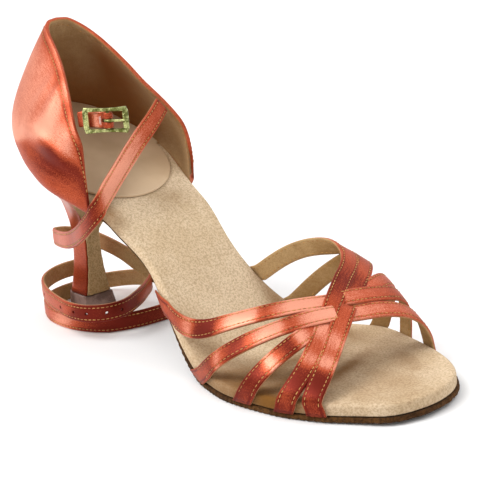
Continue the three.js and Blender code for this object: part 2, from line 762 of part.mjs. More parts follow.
// A strap over the form. Near its feet it thins, and its section turns level with the sole.
function vampStrap(row, lifts) {
  const steps = 26;
  const tiny = 0.004;
  const { clamp, lerp, smoothstep } = THREE.MathUtils;
  const at = (t) => onInstep(vampLine(row, t), t);
  const upAt = (x) => onSole(x, 0, 1).sub(onSole(x, 0, 0));
  const stops = Array.from({ length: steps + 1 }, (_, i) => {
    const share = clamp(i / steps, tiny, 1 - tiny);
    const x = vampLine(row, share);
    const run = at(share + tiny / 2).sub(at(share - tiny / 2)).normalize();
    const alongForm = onInstep(x + formStep, share).sub(onInstep(x - formStep, share));
    const roundForm = onInstep(x, share + tiny / 2).sub(onInstep(x, share - tiny / 2));
    const out = alongForm.cross(roundForm).normalize();
    out.addScaledVector(run, -out.dot(run)).normalize();
    const across = run.clone().cross(out).normalize();
    const raise = lifts.reduce((most, { share: place, rise }) => {
      const here = rise * Math.exp(-(((share - place) / weaveReach) ** 2));
      return Math.abs(here) > Math.abs(most) ? here : most;
    }, 0);
    const foot = 1 - smoothstep(Math.min(share, 1 - share), 0, footShare);
    if (foot > 0) {
      const lean = clamp(-across.dot(upAt(x)) / run.dot(upAt(x)), -footLean, footLean);
      across.addScaledVector(run, lean * foot);
    }
    const thickness = lerp(strapThickness, footThickness, foot);
    return { point: at(share).addScaledVector(out, raise), across, out, run, thickness };
  });
  const feet = (side, stop) => [-insoleThickness, -insoleThickness / 2].map((lift) => {
    const foot = vampLine(row, side < 0 ? 0 : 1);
    const up = upAt(foot);
    const lean = clamp((stop.run.x * up.z - stop.run.z * up.x) / stop.run.dot(up), -footLean, footLean);
    const x = foot + lean * lift;
    const edge = (place) => onSole(place, edgeAt(place, side), lift);
    const tangent = edge(x + formStep).sub(edge(x - formStep)).normalize();
    const outward = up.clone().cross(tangent).multiplyScalar(side);
    const point = edge(x).addScaledVector(outward, gap + footThickness / 2);
    const across = tangent.multiplyScalar(Math.sign(tangent.dot(stop.across)) * Math.hypot(1, lean));
    return { ...stop, point, across, out: outward.multiplyScalar(Math.sign(outward.dot(stop.out))) };
  });
  return band([...feet(-1, stops[0]), ...stops, ...feet(1, stops.at(-1)).reverse()], strapWidth);
}

// The five vamp straps, joined where they cross
function vampStraps() {
  const lifts = new Map(vampRows.map((row) => [row.name, []]));
  const rowOf = (name) => vampRows.find((row) => row.name === name);
  for (const { over, under, rise, drop } of weaveRows) {
    const { a, b } = crossing(rowOf(over), rowOf(under));
    lifts.get(over).push({ share: a, rise: rise * strapThickness });
    lifts.get(under).push({ share: b, rise: -drop * strapThickness });
  }
  return joined(vampRows.map((row) => vampStrap(row, lifts.get(row.name))));
}

function ankleStrap() {
  const steps = 112;
  const lying = floorClearance + strapWidth / 2;
  const line = new THREE.CatmullRomCurve3(ankleRows.map(({ along, across, rise }) => {
    return vec(along * quarterLength, across * collarHalf, lying + rise * seatRise);
  }), false, 'centripetal');
  const up = vec(0, 0, 1);
  const stops = Array.from({ length: steps + 1 }, (_, i) => {
    const t = i / steps;
    const run = line.getTangent(t);
    const place = t * (ankleRows.length - 1);
    const low = Math.min(Math.floor(place), ankleRows.length - 2);
    const turn = THREE.MathUtils.lerp(ankleRows[low].turn, ankleRows[low + 1].turn, place - low);
    const out = up.clone().cross(run).normalize();
    out.applyAxisAngle(run, -turn * rad);
    const across = run.clone().cross(out).normalize();
    return { point: line.getPoint(t), across, out, thickness: strapThickness };
  });
  return band(stops, strapWidth);
}

// Buckle pieces in their own frame: X along the strap, Z along the bars, -Y to the outside.
// The middle of the centre bar is the origin.
function buckleFrame() {
  const [rear, front] = [-barAhead, buckleLength - barAhead];
  const middle = (rear + front) / 2;
  const rail = buckleHeight / 2 - buckleBar / 2;
  const centreBar = new THREE.CylinderGeometry(centreBarRadius, centreBarRadius,
    buckleHeight - buckleBar, 16).rotateX(Math.PI / 2);
  return joined([
    block(rear + endBarWidth / 2, 0, 0, endBarWidth, buckleBar, buckleHeight),
    block(front - endBarWidth / 2, 0, 0, endBarWidth, buckleBar, buckleHeight),
    block(middle, 0, rail, buckleLength - endBarWidth, buckleBar, buckleBar),
    block(middle, 0, -rail, buckleLength - endBarWidth, buckleBar, buckleBar),
    centreBar,
  ]);
}

function bucklePin() {
  const inside = centreBarRadius + prongClearance;
  const outside = inside + prongWall;
  const ring = new THREE.LatheGeometry([
    new THREE.Vector2(inside, -prongRadius),
    new THREE.Vector2(outside, -prongRadius),
    new THREE.Vector2(outside, prongRadius),
    new THREE.Vector2(inside, prongRadius),
    new THREE.Vector2(inside, -prongRadius),
  ], 24).rotateX(Math.PI / 2);
  const reach = buckleLength - barAhead + prongPast;
  const height = buckleBar / 2 + gap + prongRadius;
  const rod = new THREE.CylinderGeometry(prongRadius, prongRadius, reach, 12)
    .rotateZ(Math.PI / 2)
    .translate(reach / 2, -height, 0);
  return joined([ring, rod]);
}

// The tab's folded end holds the centre bar, with a slit for the prong.
function buckleTab() {
  const inside = centreBarRadius + gap;
  const outside = inside + tabLayer;
  const outline = new THREE.Shape();
  const tail = barAhead + tabTail;
  outline.moveTo(-tail, outside * tabFlat);
  outline.lineTo(-outside, outside * tabFlat);
  outline.absarc(0, 0, outside, Math.PI * tabOpen, -Math.PI * tabOpen, true);
  outline.lineTo(-tail, -outside * tabFlat);
  outline.closePath();
  const hole = new THREE.Path();
  hole.absarc(0, 0, inside, 0, 2 * Math.PI, false);
  outline.holes.push(hole);
  const shape = { depth: tabWidth, bevelEnabled: false, curveSegments: 14 };
  const strip = new THREE.ExtrudeGeometry(outline, shape).translate(0, 0, -tabWidth / 2);
  const slit = block(0, 0, 0, 2 * slitReach, 4 * outside, slitWidth);
  return fromManifold(toManifold(strip).subtract(toManifold(slit)));
}

// Materials
function paint(color, roughness, metalness = 0) {
  return new THREE.MeshStandardMaterial({ color, roughness, metalness });
}

const satin = 0xbe5037;
const suede = 0xcdb48c;
const sockLeather = 0xc8aa82;
const soleSuede = 0x9b8060;
const tipPlastic = 0x5a413c;
const paleGold = 0xbec38c;

const group = new THREE.Group();
const heelAxis = breastPosition + tipFront - tipDepth / 2;

function add(parent, name, geometry, material) {
  const mesh = new THREE.Mesh(geometry, material);
  mesh.name = name;
  parent.add(mesh);
}

const shoe = new THREE.Group();
shoe.position.set(-heelAxis, 0, 0);
group.add(shoe);

add(shoe, 'outsole', outsole(), paint(soleSuede, 0.95));
add(shoe, 'insole', insole(), paint(suede, 0.95));
add(shoe, 'heel_sock', heelSock(), paint(sockLeather, 0.6));
add(shoe, 'heel', heel(), paint(satin, 0.4));
add(shoe, 'heel_tip', heelTip(), paint(tipPlastic, 0.4));
add(shoe, 'quarter', quarter(), paint(satin, 0.4));
add(shoe, 'vamp_straps', vampStraps(), paint(satin, 0.4));
add(shoe, 'ankle_strap', ankleStrap(), paint(satin, 0.4));

const buckle = new THREE.Group();
buckle.position.copy(onSeat(
  buckleSeat.place * quarterLength,
  -buckleSeat.half * collarHalf,
  buckleSeat.height * counterHeight,
));
buckle.rotation.z = buckleTurn * rad;
shoe.add(buckle);
add(buckle, 'buckle_frame', buckleFrame(), paint(paleGold, 0.25, 1));
add(buckle, 'buckle_prong', bucklePin(), paint(paleGold, 0.25, 1));
const tab = new THREE.Group();
tab.rotation.z = -tabAngle * rad;
buckle.add(tab);
add(tab, 'buckle_tab', buckleTab(), paint(satin, 0.4));

export default group;
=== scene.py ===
"""Looks of a satin ballroom sandal for the right foot, built round its CAD frame."""

import logging
import math
from dataclasses import dataclass, field
from enum import Enum
from typing import Callable, Iterable, Optional, Sequence, Union

import bmesh
import bpy
from mathutils import Matrix, Vector


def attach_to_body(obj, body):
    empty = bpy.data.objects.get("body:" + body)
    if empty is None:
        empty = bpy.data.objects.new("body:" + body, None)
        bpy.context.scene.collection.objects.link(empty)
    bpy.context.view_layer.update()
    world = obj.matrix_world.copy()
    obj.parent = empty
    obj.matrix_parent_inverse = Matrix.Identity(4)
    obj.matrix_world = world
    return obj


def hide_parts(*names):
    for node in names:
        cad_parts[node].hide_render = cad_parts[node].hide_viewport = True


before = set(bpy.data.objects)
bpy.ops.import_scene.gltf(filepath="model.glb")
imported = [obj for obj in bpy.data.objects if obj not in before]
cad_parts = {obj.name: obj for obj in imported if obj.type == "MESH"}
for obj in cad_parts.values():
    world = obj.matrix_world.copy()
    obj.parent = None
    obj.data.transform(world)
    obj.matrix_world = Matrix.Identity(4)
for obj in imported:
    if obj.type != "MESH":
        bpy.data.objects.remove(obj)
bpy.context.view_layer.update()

log = logging.getLogger("sandal")
logging.basicConfig(level=logging.INFO, format="%(message)s")

MM = 0.001
HEEL_AXIS = 16.4
STITCH_PITCH = 1.75 * MM
LINING_PITCH = 1.9 * MM
LINING_STITCH = 0.85
STITCH_SPREAD = (0.88, 1.1)
SEED = 7
Number = Union[int, float]
Operand = Union["Value", Number]
Piece = bpy.types.Object
Curve = Callable[[float], float]
Faces = list[tuple[int, ...]]
Colour = tuple[float, float, float]


class Body(Enum):
    """Moving bodies of the shoe."""

    SHOE = "shoe"
    BUCKLE = "buckle"
    PRONG = "prong"


class Side(Enum):
    """Sides of the foot; the value is the sign of Y."""

    LATERAL = -1
    MEDIAL = 1


class Slot(Enum):
    """Material slots of the record."""

    SATIN = "satin"
    SUEDE = "insole_suede"
    SOCK = "sock_leather"
    SOLE = "sole_suede"
    TIP = "tip_plastic"
    GOLD = "pale_gold"


# Numbers.


def lerp(a: float, b: float, t: float) -> float:
    """Value a share t of the way from a to b."""
    return a + (b - a) * t


def clamp(value: float, low: float, high: float) -> float:
    """Value held between two limits."""
    return max(low, min(high, value))


def smooth(value: float, low: float, high: float) -> float:
    """Smooth step of a value from 0 at low to 1 at high."""
    t = clamp((value - low) / (high - low), 0.0, 1.0)
    return t * t * (3 - 2 * t)


def bezier(stops: Sequence[Vector], t: float) -> Vector:
    """Point of a cubic curve with four control points.

    Args:
        stops: The control points.
        t: Share of the way.

    Returns:
        The point.
    """
    a, b, c, d = stops
    s = 1 - t
    return a * s**3 + b * (3 * s * s * t) + c * (3 * s * t * t) + d * t**3


def monotone(xs: Sequence[float], ys: Sequence[float]) -> Curve:
    """Piecewise monotone curve through points.

    Args:
        xs: Rising places.
        ys: Values there.

    Returns:
        A function of the place.
    """
    rise = [(ys[i + 1] - ys[i]) / (xs[i + 1] - xs[i]) for i in range(len(xs) - 1)]
    slope = [rise[0]]
    for before, after in zip(rise, rise[1:]):
        slope.append(0.0 if before * after <= 0 else 2 * before * after / (before + after))
    slope.append(rise[-1])

    def at(place: float) -> float:
        """Value at a place.

        Args:
            place: A place.

        Returns:
            The value there.
        """
        x = clamp(place, xs[0], xs[-1])
        i = 0
        while i < len(xs) - 2 and x > xs[i + 1]:
            i += 1
        span = xs[i + 1] - xs[i]
        t = (x - xs[i]) / span
        left = ys[i] * (1 + 2 * t) * (1 - t) ** 2 + slope[i] * span * t * (1 - t) ** 2
        right = ys[i + 1] * t * t * (3 - 2 * t) - slope[i + 1] * span * t * t * (1 - t)
        return left + right

    return at


def round_ends(share: float) -> float:
    """Place on a curve with round ends."""
    return math.acos(1 - 2 * clamp(share, 0.0, 1.0))


def round_start(share: float) -> float:
    """Place on a curve with a round start."""
    return math.sqrt(max(share, 0.0))


# The last.


@dataclass(frozen=True)
class Last:
    """Shape of the foot's sole, in millimetres from the insole's back edge."""

    length: float = 202.7
    ball_width: float = 73
    waist_width: float = 39.8
    seat_width: float = 52.6
    seat_rise: float = 83.6
    seat_slope: float = math.radians(24.3)
    seat_length: float = 65.6
    ball_place: float = 129.7
    toe_spring: float = 1.2
    spring_place: float = 162
    toe_swing: float = math.radians(3.9)
    arch_pull: float = 28.6
    tread_pull: float = 24.9
    insole: float = 3.9
    outsole: float = 1.8
    gap: float = 0.3
    outline: tuple = (
        (0, 0, 0), (0.015, 0.165, 0.172), (0.05, 0.316, 0.335), (0.11, 0.434, 0.442),
        (0.18, 0.506, 0.508), (0.26, 0.53, 0.517), (0.36, 0.527, 0.535), (0.46, 0.429, 0.487),
        (0.56, 0.423, 0.515), (0.64, 0.43, 0.526), (0.72, 0.444, 0.56), (0.8, 0.431, 0.512),
        (0.88, 0.368, 0.433), (0.94, 0.277, 0.332), (0.98, 0.2, 0.207), (1, 0, 0),
    )
    curves: dict = field(default_factory=dict, compare=False)

    def __post_init__(self) -> None:
        """Prepares the outline and the arch."""
        places = [round_ends(row[0]) for row in self.outline]
        self.curves[-1] = monotone(places, [row[1] for row in self.outline])
        self.curves[1] = monotone(places, [row[2] for row in self.outline])
        drop = math.tan(self.seat_slope)
        start, pull = self.seat_length, self.seat_length + self.arch_pull
        stops = (
            Vector((start, self.seat_rise - drop * start)),
            Vector((pull, self.seat_rise - drop * pull)),
            Vector((self.ball_place - self.tread_pull, self.ball_top)),
            Vector((self.ball_place, self.ball_top)),
        )
        line = [bezier(stops, i / 80) for i in range(81)]
        self.curves["arch"] = line

    @property
    def ball_top(self) -> float:
        """Height of the insole's top at the ball."""
        return self.insole + self.gap + self.outsole

    def width(self, share: float) -> float:
        """Width that the half widths follow at a share of the length.

        Args:
            share: Share of the length.

        Returns:
            The width, in millimetres.
        """
        rows = ((0.2, self.seat_width), (
            0.36, self.waist_width
        ), (0.42, self.waist_width), (0.72, self.ball_width))
        share = clamp(share, rows[0][0], rows[-1][0])
        for (a, low), (b, high) in zip(rows, rows[1:]):
            if share <= b:
                return lerp(low, high, smooth(share, a, b))
        return rows[-1][1]

    def edge(self, x: float, side: int) -> float:
        """Insole edge at a place along the shoe, on one side.

        Args:
            x: Place along the shoe.
            side: -1 for lateral, 1 for medial.

        Returns:
            Place across the shoe.
        """
        share = clamp(x / self.length, 0.0, 1.0)
        axis = max(0.0, x - self.length / 2) * math.tan(self.toe_swing)
        return axis + side * self.curves[side](round_ends(share)) * self.width(share)

    def top(self, x: float) -> float:
        """Height of the insole's top.

        Args:
            x: Place along the shoe.

        Returns:
            The height over the floor.
        """
        if x <= self.seat_length:
            return self.seat_rise - math.tan(self.seat_slope) * x
        if x >= self.ball_place:
            ahead = max(0.0, x - self.spring_place) / (self.length - self.spring_place)
            return self.ball_top + self.toe_spring * ahead * ahead
        line = self.curves["arch"]
        i = next(k for k in range(1, len(line)) if line[k].x >= x or k == len(line) - 1)
        a, b = line[i - 1], line[i]
        return lerp(a.y, b.y, (x - a.x) / (b.x - a.x))

    def on_sole(self, x: float, y: float, lift: float) -> Vector:
        """Point above the insole's top, measured square to it."""
        slope = math.atan(self.top(x - 0.5) - self.top(x + 0.5))
        return Vector((x + math.sin(slope) * lift, y, self.top(x) + math.cos(slope) * lift))

    def on_seat(self, along: float, across: float, lift: float) -> Vector:
        """Point in the seat's frame."""
        c, s = math.cos(self.seat_slope), math.sin(self.seat_slope)
        return Vector((along * c + lift * s, across, self.seat_rise - along * s + lift * c))

    def seat_outline(self, count: int, limit: float) -> list[tuple[float, float, float, float]]:
        """Rows of along, across and the outward direction round the seat, lateral to medial.

        Args:
            count: Steps round the seat.
            limit: Reach along the seat, in millimetres.

        Returns:
            The rows.
        """
        reach = limit * math.cos(self.seat_slope)
        turn = math.acos(1 - 2 * reach / self.length)
        rows = []
        for i in range(count + 1):
            share = 2 * i / count - 1
            side = -1 if share < 0 else 1

            def at(angle: float, side: int = side) -> Vector:
                """Point of the outline at an angle."""
                x = self.length * (1 - math.cos(angle)) / 2
                return Vector((x, self.edge(x, side)))

            angle = abs(share) * turn
            run = (at(angle + 0.01) - at(max(0.0, angle - 0.01))).normalized()
            out = Vector((-1, 0)) if angle < 0.01 else Vector((-run.y * side, run.x * side))
            edge = at(angle)
            rows.append((edge.x / math.cos(self.seat_slope), edge.y, out.x, out.y))
        return rows


LAST = Last()


def row(point: Vector) -> Vector:
    """A point of the last's frame, in metres in the shared frame."""
    return Vector(((point.x - HEEL_AXIS) * MM, point.y * MM, point.z * MM))


# Mesh helpers.


def make_mesh(
    name: str,
    points: Sequence[Vector],
    faces: Sequence[Sequence[int]],
    uvs: Optional[Sequence[tuple[float, float]]] = None,
    slots: Optional[Sequence[int]] = None,
    tones: Optional[Sequence[float]] = None,
) -> Piece:
    """Object from points and faces.

    Args:
        name: Piece name.
        points: Points in the shared frame, in metres.
        faces: Corner indices of each face.
        uvs: One pair for each point.
        slots: Material index of each face.
        tones: Painted light and shade of each point, from 0, deep shade, to 1, light.

    Returns:
        The linked object, smooth, with its faces outwards.
    """
    mesh = bpy.data.meshes.new(name)
    mesh.from_pydata([tuple(p) for p in points], [], [tuple(f) for f in faces])
    if slots is not None:
        mesh.polygons.foreach_set("material_index", list(slots))
    if uvs is not None:
        layer = mesh.uv_layers.new(name="UVMap")
        for loop in mesh.loops:
            layer.data[loop.index].uv = uvs[loop.vertex_index]
    if tones is not None:
        mesh.attributes.new("tone", "FLOAT", "POINT").data.foreach_set("value", list(tones))
    mesh.polygons.foreach_set("use_smooth", [True] * len(mesh.polygons))
    box = bmesh.new()
    box.from_mesh(mesh)
    bmesh.ops.remove_doubles(box, verts=box.verts, dist=1e-6)
    bmesh.ops.recalc_face_normals(box, faces=box.faces)
    if box.calc_volume(signed=True) < 0:
        bmesh.ops.reverse_faces(box, faces=box.faces)
    box.to_mesh(mesh)
    box.free()
    mesh.validate()
    obj = bpy.data.objects.new(name, mesh)
    bpy.context.collection.objects.link(obj)
    return obj


def ring_faces(rings: int, count: int, closed_ends: bool = True) -> Faces:
    """Faces of a skin over closed rings, with fans to two extra end points when closed.

    Args:
        rings: Number of rings.
        count: Points in each ring.
        closed_ends: Whether the ends are closed.

    Returns:
        The faces.
    """
    faces: Faces = []
    for i in range(rings - 1):
        for j in range(count):
            k = (j + 1) % count
            faces.append((i * count + j, i * count + k, (i + 1) * count + k, (i + 1) * count + j))
    if closed_ends:
        first, last = rings * count, rings * count + 1
        for j in range(count):
            k = (j + 1) % count
            faces.append((k, j, first))
            faces.append(((rings - 1) * count + j, (rings - 1) * count + k, last))
    return faces


def hoop_faces(rings: int, count: int) -> Faces:
    """Faces of a skin over rings that end where they began.

    Args:
        rings: Number of rings.
        count: Points in each ring.

    Returns:
        The faces.
    """
    last = (rings - 1) * count
    ends = [(last + j, last + (j + 1) % count, (j + 1) % count, j) for j in range(count)]
    return [*ring_faces(rings, count, closed_ends=False), *ends]


def middle(points: Sequence[Vector]) -> Vector:
    """Mean of some points.

    Args:
        points: The points.

    Returns:
        The mean.
    """
    total = Vector((0, 0, 0))
    for p in points:
        total += p
    return total / len(points)


def arc_lengths(points: Sequence[Vector]) -> list[float]:
    """Running length along points.

    Args:
        points: Points of a line.

    Returns:
        The length at each point.
    """
    total, result = 0.0, [0.0]
    for a, b in zip(points, points[1:]):
        total += (b - a).length
        result.append(total)
    return result


def finish_modifiers(obj: Piece) -> Piece:
    """Turns an object with its modifiers into a plain mesh.

    Args:
        obj: Object with its modifiers.

    Returns:
        The same object, plain.
    """
    graph = bpy.context.evaluated_depsgraph_get()
    mesh = bpy.data.meshes.new_from_object(
        obj.evaluated_get(graph), preserve_all_data_layers=True, depsgraph=graph
    )
    obj.modifiers.clear()
    obj.data = mesh
    return obj


# Shader helpers.


class Value:
    """A shader socket that takes part in expressions."""

    def __init__(self, tree: "Shader", socket: bpy.types.NodeSocket) -> None:
        """Wraps a socket of a tree."""
        self.tree = tree
        self.socket = socket

    def _maths(self, operation: str, *values: Operand) -> "Value":
        """Adds one Math node."""
        inputs = {i: v for i, v in enumerate(values)}
        return self.tree.node("ShaderNodeMath", {"operation": operation}, inputs)

    def __add__(self, other: Operand) -> "Value":
        """Sum."""
        return self._maths("ADD", self, other)

    def __sub__(self, other: Operand) -> "Value":
        """Difference."""
        return self._maths("SUBTRACT", self, other)

    def __mul__(self, other: Operand) -> "Value":
        """Product."""
        return self._maths("MULTIPLY", self, other)

    def __rsub__(self, other: Number) -> "Value":
        """Reflected difference."""
        return self._maths("SUBTRACT", other, self)

    __radd__ = __add__
    __rmul__ = __mul__

    def step(self, low: float, high: float) -> "Value":
        """Smooth step from 0 at low to 1 at high.

        Args:
            low: Value that gives 0.
            high: Value that gives 1.

        Returns:
            The wrapped result.
        """
        inputs = {"Value": self, "From Min": low, "From Max": high}
        settings = {"interpolation_type": "SMOOTHSTEP"}
        return self.tree.node("ShaderNodeMapRange", settings, inputs)


class Shader:
    """A material's node tree with one Principled shader."""

    def __init__(self, name: str) -> None:
        """Makes the material.

        Args:
            name: Material name.
        """
        self.material = bpy.data.materials.new(name)
        self.material.use_nodes = True
        self.nodes = self.material.node_tree.nodes
        self.links = self.material.node_tree.links
        self.surface = self.nodes["Principled BSDF"]

    def node(
        self,
        kind: str,
        settings: Optional[dict] = None,
        inputs: Optional[dict] = None,
        output: Union[int, str] = 0,
    ) -> Value:
        """Adds a node.

        Args:
            kind: Blender's node type.
            settings: Properties, such as a Math node's operation, set first.
            inputs: Values or links by socket name or index.
            output: The socket that is returned.

        Returns:
            The wrapped output.
        """
        made = self.nodes.new(kind)
        for key, value in (settings or {}).items():
            setattr(made, key, value)
        for key, value in (inputs or {}).items():
            self.put(made.inputs[key], value)
        return Value(self, made.outputs[output])

    def put(self, socket: bpy.types.NodeSocket, value: object) -> None:
        """Links or sets a socket.

        Args:
            socket: Socket to set.
            value: A wrapped socket, a colour or a number.
        """
        if isinstance(value, Value):
            self.links.new(value.socket, socket)
        elif isinstance(value, tuple) and socket.type == "RGBA":
            socket.default_value = (*value, 1) if len(value) == 3 else value
        else:
            socket.default_value = value

    def place(self) -> Value:
        """Object coordinates."""
        return self.node("ShaderNodeTexCoord", output="Object")

    def uv(self) -> Value:
        """The piece's own UV map, in metres."""
        return self.node("ShaderNodeUVMap", {"uv_map": "UVMap"})

    def tone(self) -> Value:
        """The piece's painted light and shade, from 0, deep shade, to 1, light."""
        return self.node("ShaderNodeAttribute", {"attribute_name": "tone"}, output="Fac")

    def noise(self, where: Value, scale: float, detail: float = 3, rough: float = 0.5) -> Value:
        """Noise value about 0.5.

        Args:
            where: Coordinates.
            scale: Waves in a metre.
            detail: Octaves.
            rough: Strength of the finer octaves.

        Returns:
            The noise.
        """
        return self.node(
            "ShaderNodeTexNoise", {}, {"Vector": where, "Scale": scale, "Detail": detail, "Roughness": rough}
        )

    def stretch(self, where: Value, scale: tuple[float, float, float]) -> Value:
        """Coordinates scaled unevenly."""
        return self.node("ShaderNodeMapping", {}, {"Vector": where, "Scale": scale})

    def mix(self, share: Operand, a: object, b: object) -> Value:
        """Colour between two colours.

        Args:
            share: Share of the second colour.
            a: First colour.
            b: Second colour.

        Returns:
            The colour.
        """
        return self.node(
            "ShaderNodeMix", {"data_type": "RGBA"}, {0: share, 6: a, 7: b}, output=2
        )

    def bump(self, height: Value, strength: float, distance: float, under: Optional[Value] = None) -> Value:
        """Bump from a height, over another where given.

        Args:
            height: Height, from 0 to 1.
            strength: Share of the relief.
            distance: Relief, in metres.
            under: Normal that it adds to.

        Returns:
            The normal.
        """
        inputs = {"Height": height, "Strength": strength, "Distance": distance}
        if under is not None:
            inputs["Normal"] = under
        return self.node("ShaderNodeBump", {}, inputs)

    def dress(self, **sockets: object) -> bpy.types.Material:
        """Sets the Principled shader's sockets, with _ for a space, and returns the material.

        Args:
            sockets: Value or link of each socket.

        Returns:
            The material.
        """
        for key, value in sockets.items():
            self.put(self.surface.inputs[key.replace("_", " ")], value)
        return self.material


# Finishes.


@dataclass(frozen=True)
class Satin:
    """Copper satin: fine weave, soft lengthwise slubs, broad random tone and painted sheen and shade from
    each piece's tone attribute.
    """

    name: str = "copper_satin"
    # deep is the satin's body colour in painted shade, and light the same colour in painted highlight.
    deep: Colour = (0.145, 0.012, 0.005)
    body: Colour = (0.460, 0.078, 0.028)
    light: Colour = (0.790, 0.320, 0.210)
    metallic: float = 0.42
    roughness: float = 0.40
    thread: float = 4200

    def make(self) -> bpy.types.Material:
        """Builds the material.

        Returns:
            The material.
        """
        s = Shader(self.name)
        uv, place = s.uv(), s.place()
        broad = s.noise(place, 90, 3, 0.5)
        slub = s.noise(s.stretch(uv, (260, 1500, 1)), 1.0, 3, 0.6)
        grain = s.noise(s.stretch(uv, (self.thread * 0.4, self.thread, 1)), 1.0, 2, 0.6)
        # Painted sheen bands and painted shade come from the tone attribute; slubs, weave and broad noise
        # vary it at random.
        level = s.tone() + (broad - 0.5) * 0.34 + (slub - 0.5) * 0.42 + (grain - 0.5) * 1.15
        colour = s.mix(level.step(0.0, 0.5), self.deep, self.body)
        colour = s.mix(level.step(0.42, 1.0), colour, self.light)
        height = grain * 0.6 + slub * 0.4
        normal = s.bump(height, 0.25, 0.00012, s.bump(broad, 0.25, 0.001))
        return s.dress(
            Base_Color=colour,
            Metallic=self.metallic,
            Roughness=self.roughness + (slub - 0.5) * 0.2,
            Anisotropic=0.35,
            Specular_IOR_Level=0.12,
            Sheen_Weight=0.06,
            Sheen_Roughness=0.35,
            Sheen_Tint=(0.95, 0.40, 0.26),
            Normal=normal,
        )


@dataclass(frozen=True)
class Suede:
    """Brushed suede with a short nap, fine dark specks, patches of wear and, where a shadow colour is given,
    painted shade from the piece's tone attribute.
    """

    name: str
    light: Colour
    dark: Colour
    speck: Colour
    nap: float = 1400
    patch: float = 38
    specks: float = 0.5
    relief: float = 0.00035
    roughness: float = 0.93
    # Colour of painted shade, mixed in by the tone attribute.
    shadow: Optional[Colour] = None

    def make(self) -> bpy.types.Material:
        """Builds the material.

        Returns:
            The material.
        """
        s = Shader(self.name)
        place = s.place()
        patch = s.noise(place, self.patch, 4, 0.55)
        brushed = s.noise(s.stretch(place, (0.35, 1.0, 1.0)), self.nap * 0.35, 3, 0.6)
        fibre = s.noise(place, self.nap, 2, 0.7)
        base = s.mix((patch * 0.75 + brushed * 0.25).step(0.36, 0.62), self.dark, self.light)
        coarse = s.noise(place, self.nap * 0.6, 2, 0.8)
        dots = fibre.step(0.44, 0.60) * 0.7 + coarse.step(0.55, 0.68) * 0.3
        tone = s.mix(dots * self.specks, base, self.speck)
        # Painted shade: the tone attribute and the patches mix the shadow colour in.
        if self.shadow is not None:
            tone = s.mix((s.tone() + (patch - 0.5) * 0.5).step(0.0, 1.0), self.shadow, tone)
        normal = s.bump(fibre * 0.6 + brushed * 0.4, 0.7, self.relief)
        return s.dress(
            Base_Color=tone,
            Roughness=self.roughness - (1 - patch) * 0.08,
            Specular_IOR_Level=0.06,
            Sheen_Weight=0.06,
            Sheen_Roughness=0.5,
            Sheen_Tint=(0.95, 0.86, 0.7),
            Normal=normal,
        )


@dataclass(frozen=True)
class SockLeather:
    """Smooth beige lining leather with fine pores."""

    name: str = "sock_leather"
    light: Colour = (0.640, 0.465, 0.295)
    dark: Colour = (0.540, 0.375, 0.225)

    def make(self) -> bpy.types.Material:
        """Builds the material.

        Returns:
            The material.
        """
        s = Shader(self.name)
        place = s.place()
        patch = s.noise(place, 45, 3, 0.5)
        pores = s.node("ShaderNodeTexVoronoi", {}, {"Vector": place, "Scale": 1500.0})
        fine = s.noise(place, 2600, 2, 0.6)
        tone = s.mix(patch.step(0.35, 0.65), self.dark, self.light)
        tone = s.mix(pores.step(0.0, 0.25) * 0.12 + 0.88, (0.42, 0.27, 0.16), tone)
        return s.dress(
            Base_Color=tone,
            Roughness=0.52 + (patch - 0.5) * 0.2,
            Specular_IOR_Level=0.35,
            Normal=s.bump(pores * 0.6 + fine * 0.4, 0.3, 0.0001),
        )


@dataclass(frozen=True)
class TipPlastic:
    """Hard grey-brown plastic of the heel tip, scuffed round its foot."""

    name: str = "tip_plastic"
    light: Colour = (0.270, 0.180, 0.155)
    dark: Colour = (0.120, 0.068, 0.052)

    def make(self) -> bpy.types.Material:
        """Builds the material.

        Returns:
            The material.
        """
        s = Shader(self.name)
        place = s.place()
        cloud = s.noise(place, 160, 5, 0.65)
        scuff = s.noise(s.stretch(place, (1, 1, 6)), 420, 3, 0.7)
        tone = s.mix(cloud.step(0.38, 0.62), self.dark, self.light)
        tone = s.mix(scuff.step(0.6, 0.72) * 0.5, tone, (0.33, 0.26, 0.24))
        return s.dress(
            Base_Color=tone,
            Roughness=0.30 + scuff * 0.25,
            Normal=s.bump(scuff * 0.5 + cloud * 0.5, 0.25, 0.0003),
        )


@dataclass(frozen=True)
class PaleGold:
    """Pale greenish gold plating with dull hollows and rubbed ridges."""

    name: str = "pale_gold"
    bright: Colour = (0.600, 0.620, 0.270)
    dull: Colour = (0.110, 0.115, 0.026)

    def make(self) -> bpy.types.Material:
        """Builds the material.

        Returns:
            The material.
        """
        s = Shader(self.name)
        place = s.place()
        cloud = s.noise(place, 320, 4, 0.6)
        fine = s.noise(place, 1900, 3, 0.6)
        tone = s.mix((cloud * 0.7 + fine * 0.3).step(0.42, 0.60), self.dull, self.bright)
        return s.dress(
            Base_Color=tone,
            Metallic=1.0,
            Roughness=0.24 + (1 - cloud) * 0.22,
            Normal=s.bump(cloud * 0.6 + fine * 0.4, 0.35, 0.0003),
        )


@dataclass(frozen=True)
class Thread:
    """Twisted sewing thread."""

    name: str = "golden_thread"
    light: Colour = (0.600, 0.310, 0.080)
    dark: Colour = (0.270, 0.100, 0.020)

    def make(self) -> bpy.types.Material:
        """Builds the material.

        Returns:
            The material.
        """
        s = Shader(self.name)
        place = s.place()
        twist = s.noise(s.stretch(place, (1, 1, 2)), 2600, 2, 0.6)
        cloud = s.noise(place, 260, 2, 0.5)
        tone = s.mix((twist * 0.5 + cloud * 0.5).step(0.38, 0.6), self.dark, self.light)
        return s.dress(
            Base_Color=tone, Roughness=0.6 + (twist - 0.5) * 0.2, Normal=s.bump(twist, 0.4, 0.0001)
        )


